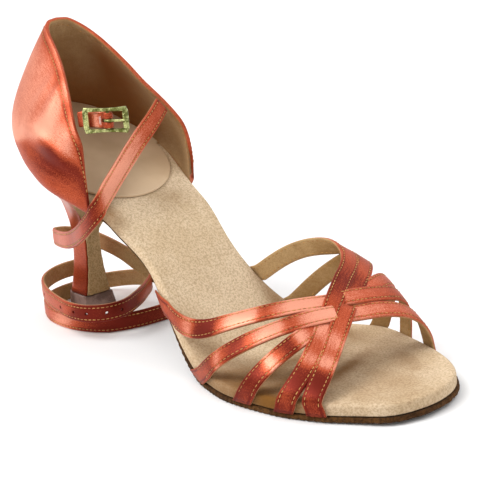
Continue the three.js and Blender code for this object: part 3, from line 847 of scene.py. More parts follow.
SATIN = Satin().make()
HEEL_SATIN = Satin(name="heel_satin", roughness=0.34).make()
INSOLE_SUEDE = Suede(
    "insole_suede", (0.760, 0.600, 0.415), (0.660, 0.500, 0.320), (0.300, 0.185, 0.090), nap=1350,
    specks=0.58, relief=0.0005, shadow=(0.190, 0.080, 0.016),
).make()
LINING = Suede(
    "lining_suede", (0.520, 0.340, 0.175), (0.420, 0.260, 0.120), (0.230, 0.120, 0.045), nap=1900,
    specks=0.3, relief=0.0002, shadow=(0.300, 0.110, 0.026),
).make()
STRAP_LINING = Suede(
    "strap_lining", (0.520, 0.345, 0.165), (0.340, 0.200, 0.080), (0.200, 0.100, 0.035), nap=2000,
    specks=0.35, relief=0.0002,
).make()
STRAP_EDGE = Suede(
    "strap_edge", (0.560, 0.260, 0.140), (0.400, 0.110, 0.050), (0.260, 0.060, 0.030), nap=2400,
    specks=0.4, relief=0.0002,
).make()
BREAST_SUEDE = Suede(
    "breast_suede", (0.480, 0.325, 0.165), (0.310, 0.195, 0.085), (0.140, 0.075, 0.028), nap=1500, specks=0.6
).make()
SOLE_SUEDE = Suede(
    "sole_suede", (0.120, 0.052, 0.016), (0.052, 0.022, 0.008), (0.014, 0.007, 0.003), nap=900,
    specks=0.7, relief=0.0012,
).make()
SOCK_LEATHER = SockLeather().make()
TIP_PLASTIC = TipPlastic().make()
PALE_GOLD = PaleGold().make()
THREAD = Thread().make()
DARK_THREAD = Thread("red_thread", (0.40, 0.10, 0.05), (0.22, 0.04, 0.02)).make()
PALE_THREAD = Thread("pale_thread", (0.80, 0.62, 0.55), (0.55, 0.35, 0.3)).make()


def wear(obj: Piece, *materials: bpy.types.Material) -> Piece:
    """Gives a piece its materials, in slot order.

    Args:
        obj: The piece.
        materials: Its finishes.

    Returns:
        The piece.
    """
    indices = [p.material_index for p in obj.data.polygons]
    obj.data.materials.clear()
    for material in materials:
        obj.data.materials.append(material)
    for polygon, index in zip(obj.data.polygons, indices):
        polygon.material_index = min(index, len(materials) - 1)
    return obj


def attach(obj: Piece, body: Body, slot: Slot, *nodes: str) -> Piece:
    """Puts a piece on its body and hides the CAD nodes it stands for.

    Args:
        obj: The piece.
        body: Body that carries it.
        slot: The record's material slot; not used.
        nodes: CAD nodes that it stands for.

    Returns:
        The piece.
    """
    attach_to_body(obj, body.value)
    if nodes:
        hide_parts(*nodes)
    log.info("%s: %d faces on %s", obj.name, len(obj.data.polygons), body.value)
    return obj


# Repeated pieces.


@dataclass
class SeamLine:
    """A line of stitches: points in metres with the direction that faces away from the cloth."""

    points: list[Vector]
    outs: list[Vector]


class Repeats:
    """Geometry Nodes that set a small shape along lines."""

    def __init__(self, name: str, shape: Piece, material: bpy.types.Material) -> None:
        """Builds the tree.

        Args:
            name: Tree name.
            shape: The shape that is repeated; its X runs along the line and its Z faces out.
            material: Finish of the repeats.
        """
        tree = bpy.data.node_groups.new(name, "GeometryNodeTree")
        face = tree.interface
        face.new_socket("Geometry", in_out="INPUT", socket_type="NodeSocketGeometry")
        self.pitch = face.new_socket("Pitch", in_out="INPUT", socket_type="NodeSocketFloat").identifier
        self.size = face.new_socket("Size", in_out="INPUT", socket_type="NodeSocketFloat").identifier
        self.seed = face.new_socket("Seed", in_out="INPUT", socket_type="NodeSocketInt").identifier
        face.new_socket("Geometry", in_out="OUTPUT", socket_type="NodeSocketGeometry")
        nodes, links = tree.nodes, tree.links
        start, end = nodes.new("NodeGroupInput"), nodes.new("NodeGroupOutput")
        curve = nodes.new("GeometryNodeMeshToCurve")
        even = nodes.new("GeometryNodeResampleCurve")
        even.mode = "LENGTH"
        tangent = nodes.new("GeometryNodeInputTangent")
        out = nodes.new("GeometryNodeInputNamedAttribute")
        out.data_type = "FLOAT_VECTOR"
        out.inputs["Name"].default_value = "out"
        turn = nodes.new("FunctionNodeAxesToRotation")
        turn.primary_axis, turn.secondary_axis = "Z", "X"
        info = nodes.new("GeometryNodeObjectInfo")
        info.inputs["Object"].default_value = shape
        info.inputs["As Instance"].default_value = True
        chance = nodes.new("FunctionNodeRandomValue")
        chance.data_type = "FLOAT"
        low, high = [
            socket for socket in chance.inputs if socket.name in ("Min", "Max") and socket.type == "VALUE"
        ][:2]
        low.default_value, high.default_value = STITCH_SPREAD
        scale = nodes.new("ShaderNodeMath")
        scale.operation = "MULTIPLY"
        points = nodes.new("GeometryNodeInstanceOnPoints")
        real = nodes.new("GeometryNodeRealizeInstances")
        paint = nodes.new("GeometryNodeSetMaterial")
        paint.inputs["Material"].default_value = material
        value = next(socket for socket in chance.outputs if socket.enabled)
        links.new(value, scale.inputs[0])
        for source, gives, target, takes in (
            (
                start, "Geometry", curve, "Mesh"
            ), (curve, "Curve", even, "Curve"), (start, "Pitch", even, "Length"),
            (even, "Curve", points, "Points"), (info, "Geometry", points, "Instance"),
            (out, "Attribute", turn, "Primary Axis"), (tangent, "Tangent", turn, "Secondary Axis"),
            (
                turn, "Rotation", points, "Rotation"
            ), (start, "Seed", chance, "Seed"), (start, "Size", scale, 1),
            (scale, 0, points, "Scale"), (points, "Instances", real, "Geometry"),
            (real, "Geometry", paint, "Geometry"), (paint, "Geometry", end, "Geometry"),
        ):
            links.new(source.outputs[gives], target.inputs[takes])
        self.tree = tree
        self.material = material

    def along(self, name: str, lines: Iterable[SeamLine], pitch: float, size: float = 1.0) -> Piece:
        """Repeats along lines as one plain mesh.

        Args:
            name: Piece name.
            lines: The lines.
            pitch: Distance between two repeats, in metres.
            size: Scale of the shape.

        Returns:
            The linked object.
        """
        points: list[Vector] = []
        outs: list[Vector] = []
        edges: list[tuple[int, int]] = []
        for line in lines:
            first = len(points)
            points.extend(line.points)
            outs.extend(line.outs)
            edges.extend((first + i, first + i + 1) for i in range(len(line.points) - 1))
        mesh = bpy.data.meshes.new(name)
        mesh.from_pydata([tuple(p) for p in points], edges, [])
        attribute = mesh.attributes.new("out", "FLOAT_VECTOR", "POINT")
        attribute.data.foreach_set("vector", [c for o in outs for c in o])
        obj = bpy.data.objects.new(name, mesh)
        bpy.context.collection.objects.link(obj)
        modifier = obj.modifiers.new("Repeats", "NODES")
        modifier.node_group = self.tree
        modifier[self.pitch] = pitch
        modifier[self.size] = size
        modifier[self.seed] = SEED
        finish_modifiers(obj)
        obj.data.polygons.foreach_set("use_smooth", [True] * len(obj.data.polygons))
        if not obj.data.materials:
            obj.data.materials.append(self.material)
        return obj


def bead(name: str, length: float, width: float, height: float, sides: int = 6, rings: int = 5) -> Piece:
    """A small rounded lozenge along X, hidden, used as the shape of a stitch or a facet.

    Args:
        name: Object name.
        length: Size along X, in metres.
        width: Size along Y.
        height: Size along Z.
        sides: Points in a ring.
        rings: Steps along X.

    Returns:
        The hidden shape.
    """
    points = []
    for i in range(1, rings):
        angle = math.pi * i / rings
        for j in range(sides):
            turn = 2 * math.pi * j / sides
            points.append(Vector((
                -math.cos(angle) * length / 2,
                math.sin(angle) ** 0.6 * math.cos(turn) * width / 2,
                math.sin(angle) ** 0.6 * math.sin(turn) * height / 2,
            )))
    points += [Vector((-length / 2, 0, 0)), Vector((length / 2, 0, 0))]
    obj = make_mesh(name, points, ring_faces(rings - 1, sides))
    obj.hide_render = True
    obj.hide_viewport = True
    return obj


STITCH = Repeats("stitch_row", bead("stitch_shape", 1.25 * MM, 0.36 * MM, 0.30 * MM), THREAD)
RED_STITCH = Repeats("red_stitch_row", bead("red_stitch_shape", 1.25 * MM, 0.34 * MM, 0.28 * MM), DARK_THREAD)
GEM = Repeats("facet_row", bead("facet_shape", 0.75 * MM, 0.75 * MM, 0.42 * MM, 4, 4), PALE_GOLD)


# Sole.


@dataclass
class Level:
    """One loop of a sole layer."""

    lift: float
    inset: float


@dataclass
class SoleLayer:
    """A layer that follows the last between two places."""

    name: str
    start: float
    end: float
    edge: Callable[[float, int], float]
    levels: list[Level]
    stations: int = 150
    across: int = 40
    relief: Optional[Callable[[float, float], float]] = None
    fray: Optional[Callable[[float, int], float]] = None
    shade: Optional[Callable[[float, float], float]] = None

    def build(self) -> Piece:
        """Skins the layer; the last level is its top.

        Returns:
            The layer.
        """
        xs = [lerp(
            self.start, self.end, (1 - math.cos(math.pi * i / self.stations)) / 2
        ) for i in range(self.stations + 1)]
        points: list[Vector] = []
        uvs: list[tuple[float, float]] = []
        tones: list[float] = []
        last = len(self.levels) - 1
        for number, level in enumerate(self.levels):
            for i, x in enumerate(xs):
                ends = []
                for side in (-1, 1):
                    before, after = xs[max(i - 1, 0)], xs[min(i + 1, self.stations)]
                    run = Vector(
                        (after - before, self.edge(after, side) - self.edge(before, side))
                    ).normalized()
                    closed = abs(self.edge(x, 1) - self.edge(x, -1)) < 0.01
                    out = Vector((-1 if i == 0 else 1, 0)) if closed else Vector(
                        (-run.y * side, run.x * side)
                    )
                    inset = level.inset - (self.fray(x, side) if self.fray else 0.0)
                    ends.append(Vector((x - out.x * inset, self.edge(x, side) - out.y * inset)))
                for k in range(self.across + 1):
                    share = (1 - math.cos(math.pi * k / self.across)) / 2
                    p = ends[0].lerp(ends[1], share)
                    lift = level.lift
                    if self.relief and number == last:
                        lift += self.relief(p.x, p.y) * math.sin(math.pi * share) ** 0.5
                    points.append(row(LAST.on_sole(p.x, p.y, lift)))
                    uvs.append((p.x * MM, p.y * MM))
                    tones.append(self.shade(p.x, p.y) if self.shade else 1.0)
        cols = self.across + 1
        size = len(xs) * cols

        def at(level: int, i: int, k: int) -> int:
            """Index of a point."""
            return level * size + i * cols + k

        faces: Faces = []
        for i in range(self.stations):
            for k in range(self.across):
                faces.append((at(0, i, k), at(0, i, k + 1), at(0, i + 1, k + 1), at(0, i + 1, k)))
                faces.append((at(last, i, k), at(last, i + 1, k), at(last, i + 1, k + 1), at(last, i, k + 1)))
        for level in range(last):
            for i in range(self.stations):
                for k in (0, self.across):
                    faces.append(
                        (at(level, i, k), at(level, i + 1, k), at(level + 1, i + 1, k), at(level + 1, i, k))
                    )
            for k in range(self.across):
                for i in (0, self.stations):
                    faces.append(
                        (at(level, i, k), at(level + 1, i, k), at(level + 1, i, k + 1), at(level, i, k + 1))
                    )
        return make_mesh(self.name, points, faces, uvs, tones=tones)


def rounded(thickness: float, base: float, radius: float, low: float, steps: int = 5) -> list[Level]:
    """Levels of a layer with a rounded upper and a rounded lower edge.

    Args:
        thickness: Layer thickness.
        base: Lift of its underside.
        radius: Upper round.
        low: Lower round.
        steps: Levels in each round.

    Returns:
        The levels, from the underside up.
    """
    levels = []
    for i in range(steps + 1):
        angle = math.pi / 2 * i / steps
        levels.append(Level(base + low * (1 - math.cos(angle)), low * (1 - math.sin(angle))))
    for i in range(steps + 1):
        angle = math.pi / 2 * i / steps
        levels.append(
            Level(base + thickness - radius * (1 - math.sin(angle)), radius * (1 - math.cos(angle)))
        )
    return levels


@dataclass
class Spot:
    """A soft patch of painted shade on the insole, in millimetres."""

    x: float
    y: float
    long: float
    wide: float
    turn: float
    depth: float

    def at(self, x: float, y: float) -> float:
        """Depth of the patch at a place.

        Args:
            x: Place along the shoe.
            y: Place across it.

        Returns:
            The depth, from 0 to 1.
        """
        c, s = math.cos(math.radians(self.turn)), math.sin(math.radians(self.turn))
        u, v = x - self.x, y - self.y
        a, b = u * c + v * s, v * c - u * s
        return self.depth * math.exp(-((a / self.long) ** 2) - (b / self.wide) ** 2)


@dataclass
class Sole:
    """Insole board, heel sock and suede outsole."""

    insole_round: float = 1.1
    insole_low: float = 0.5
    sock_thickness: float = 0.8
    sock_margin: float = 0.9
    sock_radius: float = 26
    sock_centre: float = 40
    sock_axis: float = -1.5
    outsole_margin: float = 0.5
    waist_margin: float = -1.6
    seat_breast: float = 60
    # Patches of painted shade: under and between the straps, in the ball's creases, over the toes and along
    # the edges and the heel sock.
    shade_spots: tuple = (
        Spot(148, -27, 28, 7, 3, 0.62), Spot(141, -18, 18, 6, 12, 0.35), Spot(118, -14, 16, 7, 10, 0.35),
        Spot(153, 2, 22, 3.6, 105, 0.45), Spot(164, 4, 20, 3.2, 108, 0.42), Spot(143, 4, 22, 3.2, 102, 0.35),
        Spot(108, 24, 18, 7, -8, 0.6), Spot(172, 2, 46, 40, 0, 0.40), Spot(66, -20, 12, 5, 0, 0.65),
        Spot(72, 6, 7, 20, 12, 0.25), Spot(62, 6, 8, 16, 0, 0.2), Spot(172, 26, 16, 4, -30, 0.2),
        Spot(135, 30, 14, 5, 0, 0.35), Spot(168, -26, 16, 4, 22, 0.25),
    )

    def build(self) -> None:
        """Builds and dresses the three layers."""
        attach(self.insole(), Body.SHOE, Slot.SUEDE, "insole")
        attach(self.sock(), Body.SHOE, Slot.SOCK, "heel_sock")
        attach(self.tread(), Body.SHOE, Slot.SOLE, "outsole")

    def insole(self) -> Piece:
        """The board in its suede cover, with a faint bed for the ball of the foot.

        Returns:
            The piece.
        """

        def bed(x: float, y: float) -> float:
            """Height of the bed that wear has pressed in, in millimetres.

            Args:
                x: Place along the shoe.
                y: Place across it.

            Returns:
                The height.
            """
            ball = math.exp(-(((x - 148) / 26) ** 2) - ((y - 6) / 20) ** 2)
            ridge = math.sin((x + 0.3 * y) / 1.75) * math.exp(-(((x - 154) / 16) ** 2) - ((y - 3) / 19) ** 2)
            toes = math.exp(-(((x - 182) / 8) ** 2) - ((y - 8) / 22) ** 2)
            return -0.45 * ball + 0.16 * ridge - 0.18 * toes

        def painted_cover_shade(x: float, y: float) -> float:
            """Painted shade of the cover, summed from its patches."""
            return 1 - sum(spot.at(x, y) for spot in self.shade_spots)

        levels = rounded(LAST.insole, -LAST.insole, self.insole_round, self.insole_low)
        layer = SoleLayer("insole_cover", 0, LAST.length, LAST.edge, levels, 190, 48, relief=bed, shade=painted_cover_shade)
        return wear(layer.build(), INSOLE_SUEDE)

    def sock(self) -> Piece:
        """The leather heel sock, thin at its edge.

        Returns:
            The piece.
        """

        def edge(x: float, side: int) -> float:
            """Edge of the sock.

            Args:
                x: Place along the shoe.
                side: -1 for lateral, 1 for medial.

            Returns:
                Place across the shoe.
            """
            inside = LAST.edge(x, side) - side * self.sock_margin
            if x <= self.sock_centre:
                return inside
            reach = math.sqrt(max(0.0, self.sock_radius**2 - (x - self.sock_centre) ** 2))
            arc = self.sock_axis + side * reach
            return max(inside, arc) if side < 0 else min(inside, arc)

        levels = rounded(self.sock_thickness, LAST.gap, self.sock_thickness * 0.6, 0.05, 4)
        start = self.sock_margin + self.insole_round
        layer = SoleLayer("heel_sock_pad", start, self.sock_centre + self.sock_radius, edge, levels, 90, 30)
        return wear(layer.build(), SOCK_LEATHER)

    def tread(self) -> Piece:
        """The suede outsole with its rough, fibrous edge.

        Returns:
            The piece.
        """
        rear = LAST.on_seat(self.seat_breast + LAST.gap, 0, 0).x

        def edge(x: float, side: int) -> float:
            """Edge of the outsole."""
            ahead = smooth(x, LAST.seat_length + LAST.arch_pull, LAST.ball_place)
            return LAST.edge(x, side) + side * lerp(self.waist_margin, 0.0, ahead)

        def fray(x: float, side: int) -> float:
            """Uneven cut of the edge, in millimetres.

            Args:
                x: Place along the shoe.
                side: -1 for lateral, 1 for medial.

            Returns:
                How far the edge stands out.
            """
            ahead = smooth(x, LAST.seat_length + LAST.arch_pull, LAST.ball_place)
            wave = math.sin(x * 2.9 + side) * 0.5 + math.sin(
                x * 5.3 + 1.7 * side
            ) * 0.3 + math.sin(x * 9.1) * 0.2
            return (0.16 + 0.34 * wave) * ahead

        top = -LAST.insole - LAST.gap
        levels = [
            Level(top - LAST.outsole, 0.2), Level(top - LAST.outsole + 0.25, -self.outsole_margin * 0.6),
            Level(top - LAST.outsole / 2, -self.outsole_margin), Level(top - 0.4, -self.outsole_margin * 0.8),
            Level(top, -self.outsole_margin / 2),
        ]
        layer = SoleLayer("suede_outsole", rear, LAST.length, edge, levels, 420, 12, fray=fray)
        return wear(layer.build(), SOLE_SUEDE)


# Heel.


@dataclass
class Heel:
    """Flared heel in satin, its suede breast flap and its tip."""

    neck_rise: float = 31
    neck_half: float = 3.5
    neck_depth: float = 11.8
    foot_half: float = 6
    foot_depth: float = 15.2
    breast: float = 23.4
    seat_breast: float = 60
    top_margin: float = 1.3
    tip_height: float = 6
    tip_half: float = 7.4
    tip_depth: float = 17.6
    tip_front: float = 1.8
    stem_ease: float = 2.4
    flare_pull: float = 0.3
    flare_lean: float = 0.55
    flare_rise: float = 0.65
    flap_thickness: float = 1.2
    flap_inset: float = 0.5
    edge_ease: float = 0.05
    front_count: int = 20
    back_count: int = 72

    def ring(self, z: float, breast: float, half: float, depth: float) -> list[Vector]:
        """Section with a straight breast and a round back.

        Args:
            z: Height.
            breast: Place of the breast.
            half: Half width.
            depth: From breast to back.

        Returns:
            The points of the section.
        """
        front, back = self.front_count, self.back_count
        ring = [Vector((breast, half * (1 - 2 * i / front), z)) for i in range(front)]
        straight = max(0.0, depth - half)
        length = 2 * straight + math.pi * half
        for i in range(back):
            way = length * i / back
            if way < straight:
                ring.append(Vector((breast - way, -half, z)))
            elif way > length - straight:
                ring.append(Vector((breast - (length - way), half, z)))
            else:
                angle = (way - straight) / half
                ring.append(Vector((breast - straight - half * math.sin(angle), -half * math.cos(angle), z)))
        return ring

    def seat_ring(self) -> list[Vector]:
        """Section on the underside of the seat.

        Returns:
            The points of the section.
        """
        lift = -LAST.insole - LAST.gap
        outline = [
            LAST.on_seat(a + oa * self.top_margin, b + ob * self.top_margin, lift)
            for a, b, oa, ob in LAST.seat_outline(self.back_count, self.seat_breast)
        ]
        front = [outline[-1].lerp(outline[0], i / self.front_count) for i in range(self.front_count)]
        return front + outline[:-1]

    def flare(self, share: float) -> list[Vector]:
        """Section from the neck (0) to the seat (1).

        Args:
            share: Share of the way up.

        Returns:
            The points of the section.
        """
        neck = self.ring(self.neck_rise, self.breast, self.neck_half, self.neck_depth)
        result = []
        for low, high in zip(neck, self.seat_ring()):
            pull = low + Vector((0, 0, self.neck_rise * self.flare_pull))
            lean = Vector((
                lerp(low.x, high.x, self.flare_lean), lerp(low.y, high.y, self.flare_lean),
                lerp(low.z, high.z, self.flare_rise),
            ))
            result.append(bezier((low, pull, lean, high), share))
        return result

    def stem(self, share: float) -> list[Vector]:
        """Section from the foot (0) to the neck (1).

        Args:
            share: Share of the way up.

        Returns:
            The points of the section.
        """
        ease = (1 - share) ** self.stem_ease
        half = lerp(self.neck_half, self.foot_half, ease)
        depth = lerp(self.neck_depth, self.foot_depth, ease)
        return self.ring(lerp(self.tip_height + LAST.gap, self.neck_rise, share), self.breast, half, depth)

    def sections(self) -> list[list[Vector]]:
        """Sections from the foot to the seat."""
        return [self.stem(i / 14) for i in range(14)] + [self.flare(i / 30) for i in range(31)]

    def loft(self, name: str, rings: list[list[Vector]]) -> Piece:
        """Skin over rings, with U round the ring and V up it, in metres.

        Args:
            name: Piece name.
            rings: Sections from the floor up.

        Returns:
            The piece.
        """
        count = len(rings[0])
        points = [p for ring in rings for p in ring] + [middle(rings[0]), middle(rings[-1])]
        ups = arc_lengths([ring[count // 2] for ring in rings])
        uvs: list[tuple[float, float]] = []
        for up in ups:
            uvs.extend((j * 0.9 * MM, up * MM) for j in range(count))
        uvs += [(0.0, 0.0), (0.0, ups[-1] * MM)]
        tones = [self.tone(p) for p in points]
        return make_mesh(name, [row(p) for p in points], ring_faces(len(rings), count), uvs, tones=tones)

    def tone(self, p: Vector) -> float:
        """Painted light and shade of the satin: painted highlight up the flare and along the back, painted
        shade by the breast.
        """
        way = clamp((self.breast - p.x) / self.neck_depth, 0, 1)
        return 0.30 + 0.28 * way + 0.20 * smooth(p.z, 36, 62) - 0.10 * smooth(24 - p.z, 0, 16)

    def cover(self) -> Piece:
        """The satin cover, with softened edges where it turns to the breast.

        Returns:
            The piece.
        """
        rings = self.sections()
        low = [p.lerp(middle(rings[0]), self.edge_ease) for p in rings[0]]
        return wear(self.loft("heel_cover", [low] + rings), HEEL_SATIN)

    def tip(self) -> Piece:
        """The flared tip with a rounded foot edge.

        Returns:
            The piece.
        """
        foot = self.ring(0, self.breast + self.tip_front, self.tip_half, self.tip_depth)
        top = self.ring(self.tip_height, self.breast + 0.7, self.foot_half + 0.5, self.foot_depth + 1.2)
        mid = middle(foot)
        rings = [[p.lerp(mid, self.edge_ease) for p in foot]]
        for share in (0.04, 0.1, 0.3, 0.5, 0.7, 0.9, 0.96, 1.0):
            rings.append([a.lerp(b, share) for a, b in zip(foot, top)])
        rings.append([p.lerp(middle(top), 0.06) for p in top])
        return wear(self.loft("heel_top_piece", rings), TIP_PLASTIC)

    def flap(self) -> Piece:
        """The suede flap glued down the heel breast.

        Returns:
            The piece.
        """
        rings = self.sections()
        rings[0] = [p + Vector((0, 0, LAST.gap)) for p in rings[0]]
        lines = [(ring[0], ring[self.front_count]) for ring in rings]
        centre = [(a + b) / 2 for a, b in lines]
        points: list[Vector] = []
        uvs: list[tuple[float, float]] = []
        cols = 8
        for i, (medial, lateral) in enumerate(lines):
            run = (centre[min(i + 1, len(centre) - 1)] - centre[max(i - 1, 0)]).normalized()
            out = Vector((run.z, 0, -run.x))
            inset = self.flap_inset + 0.12 * math.sin(i * 2.3)
            a, b = lateral + Vector((0, inset, 0)), medial - Vector((0, inset, 0))
            section = []
            for k in range(cols + 1):
                share = k / cols
                lift = LAST.gap + self.flap_thickness * (1 - 0.35 * abs(2 * share - 1) ** 8)
                section.append(a.lerp(b, share) + out * lift)
            section += [b + out * LAST.gap, a + out * LAST.gap]
            points += [row(p) for p in section]
            uvs += [(p.y * MM, i * MM) for p in section]
        count = cols + 3
        first, last = points[:count], points[-count:]
        points += [middle(first), middle(last)]
        uvs += [(0.0, 0.0), (0.0, 0.0)]
        return wear(make_mesh("breast_flap", points, ring_faces(len(lines), count), uvs), BREAST_SUEDE)

    def build(self) -> None:
        """Builds and dresses the heel."""
        attach(self.cover(), Body.SHOE, Slot.SATIN, "heel")
        attach(self.tip(), Body.SHOE, Slot.TIP, "heel_tip")
        attach(self.flap(), Body.SHOE, Slot.SOLE)


# Quarter.


@dataclass
class Crease:
    """A soft ridge (or fold, where its height is negative) in the quarter's satin."""

    along: float
    level: float
    long: float
    wide: float
    turn: float
    height: float
    side: Side = Side.LATERAL

    def at(self, along: float, level: float) -> float:
        """Height of the ridge or fold at a place, in millimetres.

        Args:
            along: Share along the quarter.
            level: Share of its height.

        Returns:
            The height, in millimetres.
        """
        c, s = math.cos(math.radians(self.turn)), math.sin(math.radians(self.turn))
        u, v = along - self.along, level - self.level
        a, b = u * c + v * s, v * c - u * s
        return self.height * math.exp(-((a / self.long) ** 2) - (b / self.wide) ** 2)


@dataclass
class Quarter:
    """The closed quarter: satin outside, suede inside, a rolled collar and its seams."""

    length: float = 70
    counter: float = 39
    collar: float = 26.3
    wall: float = 1.8
    bulge: float = 9.2
    front_bulge: float = 3.4
    bulge_from: float = 0.72
    medial_reach: float = 0.975
    tuck: float = 0.35
    tuck_rise: float = 0.55
    stitch_depth: float = 2.1
    lining_depth: float = 2.3
    stitch_lift: float = 0.05
    stitched_from: float = 6
    columns: int = 176
    levels: int = 44
    # Level, along the quarter, of the line above which the satin takes painted light.
    painted_light_line: Curve = monotone(
        (0, 0.2, 0.32, 0.44, 0.56, 0.70, 0.84, 1), (0.04, 0.09, 0.19, 0.36, 0.53, 0.66, 0.72, 0.86)
    )
    rows: tuple = (
        (0, 0, 0, 0, 1, 1), (0.012, 0.01, 0.15, 0.155, 0.995, 0.997), (0.05, 0.05, 0.265, 0.27, 0.975, 0.98),
        (0.12, 0.12, 0.34, 0.345, 0.96, 0.966), (0.22, 0.215, 0.405, 0.403, 0.94, 0.944),
        (0.34, 0.33, 0.49, 0.469, 0.9, 0.898), (0.46, 0.45, 0.6, 0.548, 0.846, 0.829),
        (0.58, 0.565, 0.71, 0.633, 0.77, 0.741), (0.7, 0.68, 0.83, 0.75, 0.687, 0.655),
        (0.8, 0.77, 0.9, 0.848, 0.6, 0.573), (0.88, 0.85, 0.925, 0.915, 0.51, 0.49),
        (0.94, 0.91, 0.94, 0.963, 0.36, 0.35), (0.98, 0.96, 0.94, 0.972, 0.19, 0.19),
        (1, 1, 0.93, 0.945, 0.02, 0.02),
    )
    creases: tuple = (
        Crease(0.62, 0.62, 0.20, 0.05, 28, 0.95),
        Crease(0.66, 0.50, 0.20, 0.055, 25, -0.9),
        Crease(0.80, 0.66, 0.05, 0.04, 70, 0.35),
        Crease(0.46, 0.80, 0.03, 0.16, 8, -0.28),
        Crease(0.40, 0.80, 0.02, 0.13, -6, 0.2),
        Crease(0.52, 0.82, 0.02, 0.12, 12, 0.2),
        Crease(0.34, 0.72, 0.05, 0.2, 0, -0.22),
        Crease(0.80, 0.40, 0.12, 0.05, 20, -0.25),
        Crease(0.55, 0.55, 0.2, 0.06, -20, 0.4, Side.MEDIAL),
        Crease(0.60, 0.44, 0.2, 0.06, -20, -0.35, Side.MEDIAL),
    )

    def sheet(self) -> tuple[list[list[Vector]], list[float]]:
        """Outer wall as columns of points from the foot to the collar, and each column's side.

        Returns:
            The columns and their sides.
        """
        place_at = [round_start(r[0]) for r in self.rows]
        place = monotone(place_at, [r[1] for r in self.rows])
        halves = {-1: monotone(
            place_at, [r[2] for r in self.rows]
        ), 1: monotone(place_at, [r[3] for r in self.rows])}
        heights = {-1: monotone(
            place_at, [r[4] for r in self.rows]
        ), 1: monotone(place_at, [r[5] for r in self.rows])}
        reach = {-1: self.length, 1: self.length * self.medial_reach}
        outline = {side: LAST.seat_outline(self.columns, reach[side]) for side in (-1, 1)}
        columns, shares = [], []
        rim = LAST.insole
        for i in range(self.columns + 1):
            side = -1 if i < self.columns / 2 else 1
            a, b, oa, ob = outline[side][i]
            along = min(1.0, a / reach[side])
            bulge = lerp(self.bulge, self.front_bulge, smooth(along, self.bulge_from, 1))
            margin = LAST.gap + self.wall
            at = round_start(along)
            foot = Vector((a + oa * margin, b + ob * margin, -rim))
            low = Vector((a + oa * bulge, b + ob * bulge, -rim / 2))
            top = Vector((place(at) * reach[
                side
            ], side * halves[side](at) * self.collar, heights[side](at) * self.counter))
            high = low.lerp(top, self.tuck)
            high.z = top.z * self.tuck_rise
            columns.append([bezier((foot, low, high, top), k / self.levels) for k in range(self.levels + 1)])
            shares.append(along * side)
        return columns, shares

    def normals(self, columns: list[list[Vector]]) -> list[list[Vector]]:
        """Inward direction of each point of the sheet.

        Args:
            columns: The sheet's columns.

        Returns:
            One direction for each point.
        """
        result = []
        for i, column in enumerate(columns):
            before, after = columns[max(i - 1, 0)], columns[min(i + 1, len(columns) - 1)]
            line = []
            for k in range(len(column)):
                down, up = column[max(k - 1, 0)], column[min(k + 1, len(column) - 1)]
                line.append((after[k] - before[k]).cross(up - down).normalized())
            result.append(line)
        return result

    def fold(self, share: float, level: float) -> float:
        """Height of all creases at a place.

        Args:
            share: Share along the quarter, below 0 on the lateral side.
            level: Share of its height.

        Returns:
            The height, in millimetres.
        """
        side = Side.LATERAL if share < 0 else Side.MEDIAL
        fade = smooth(1 - level, 0.0, 0.06)
        return fade * sum(c.at(abs(share), level) for c in self.creases if c.side is side)

    def tone(self, share: float, level: float) -> float:
        """Painted light and shade of the satin: painted highlight above a line that climbs to the front,
        painted shade under it.

        Args:
            share: Share along the quarter, below 0 on the lateral side.
            level: Share of its height.

        Returns:
            The tone, from 0 to 1.
        """
        along = abs(share)
        line = self.painted_light_line(along)
        above = smooth(level, line - 0.05, line + 0.08)
        # under is the painted shade, top the painted light, crest a painted highlight band and streak painted
        # light and dark bands.
        under = 0.36 - 0.34 * smooth(along, 0.42, 0.76) * smooth(level, line - 0.45, line - 0.05)
        crest = 0.20 * math.exp(-(((level - line - 0.13) / 0.12) ** 2)) * (1 - smooth(along, 0.62, 0.8))
        top = 0.74 - 0.20 * smooth(level, 0.80, 0.98) - 0.24 * smooth(along, 0.74, 0.95)
        streak = 0.13 * math.sin(along * 27 + level * 2.5) * smooth(along, 0.3, 0.5)
        return lerp(under, top + crest - streak, above)

    def lining_painted_shade(self, share: float, level: float) -> float:
        """Painted light and shade of the lining: painted shade at the back and low down, lighter to the front
        and by the collar.

        Args:
            share: Share along the quarter, below 0 on the lateral side.
            level: Share of its height.

        Returns:
            The tone, from 0 to 1.
        """
        along = abs(share)
        back = 0.6 * (1 - smooth(along, 0.06, 0.24)) * smooth(level, 0.3, 0.75)
        light = smooth(along, 0.3, 0.85) * 0.8 + 0.4 * smooth(level, 0.78, 0.98)
        return clamp(0.16 + back + light, 0, 1)

    def build(self) -> None:
        """Builds the wall, its collar piping, the back seam and the stitches."""
        columns, shares = self.sheet()
        inward = self.normals(columns)
        seat = [[LAST.on_seat(p.x, p.y, p.z) for p in column] for column in columns]
        c, s = math.cos(LAST.seat_slope), math.sin(LAST.seat_slope)

        def turned(v: Vector) -> Vector:
            """A direction of the seat's frame in the shoe's frame."""
            return Vector((v.x * c + v.z * s, v.y, -v.x * s + v.z * c))

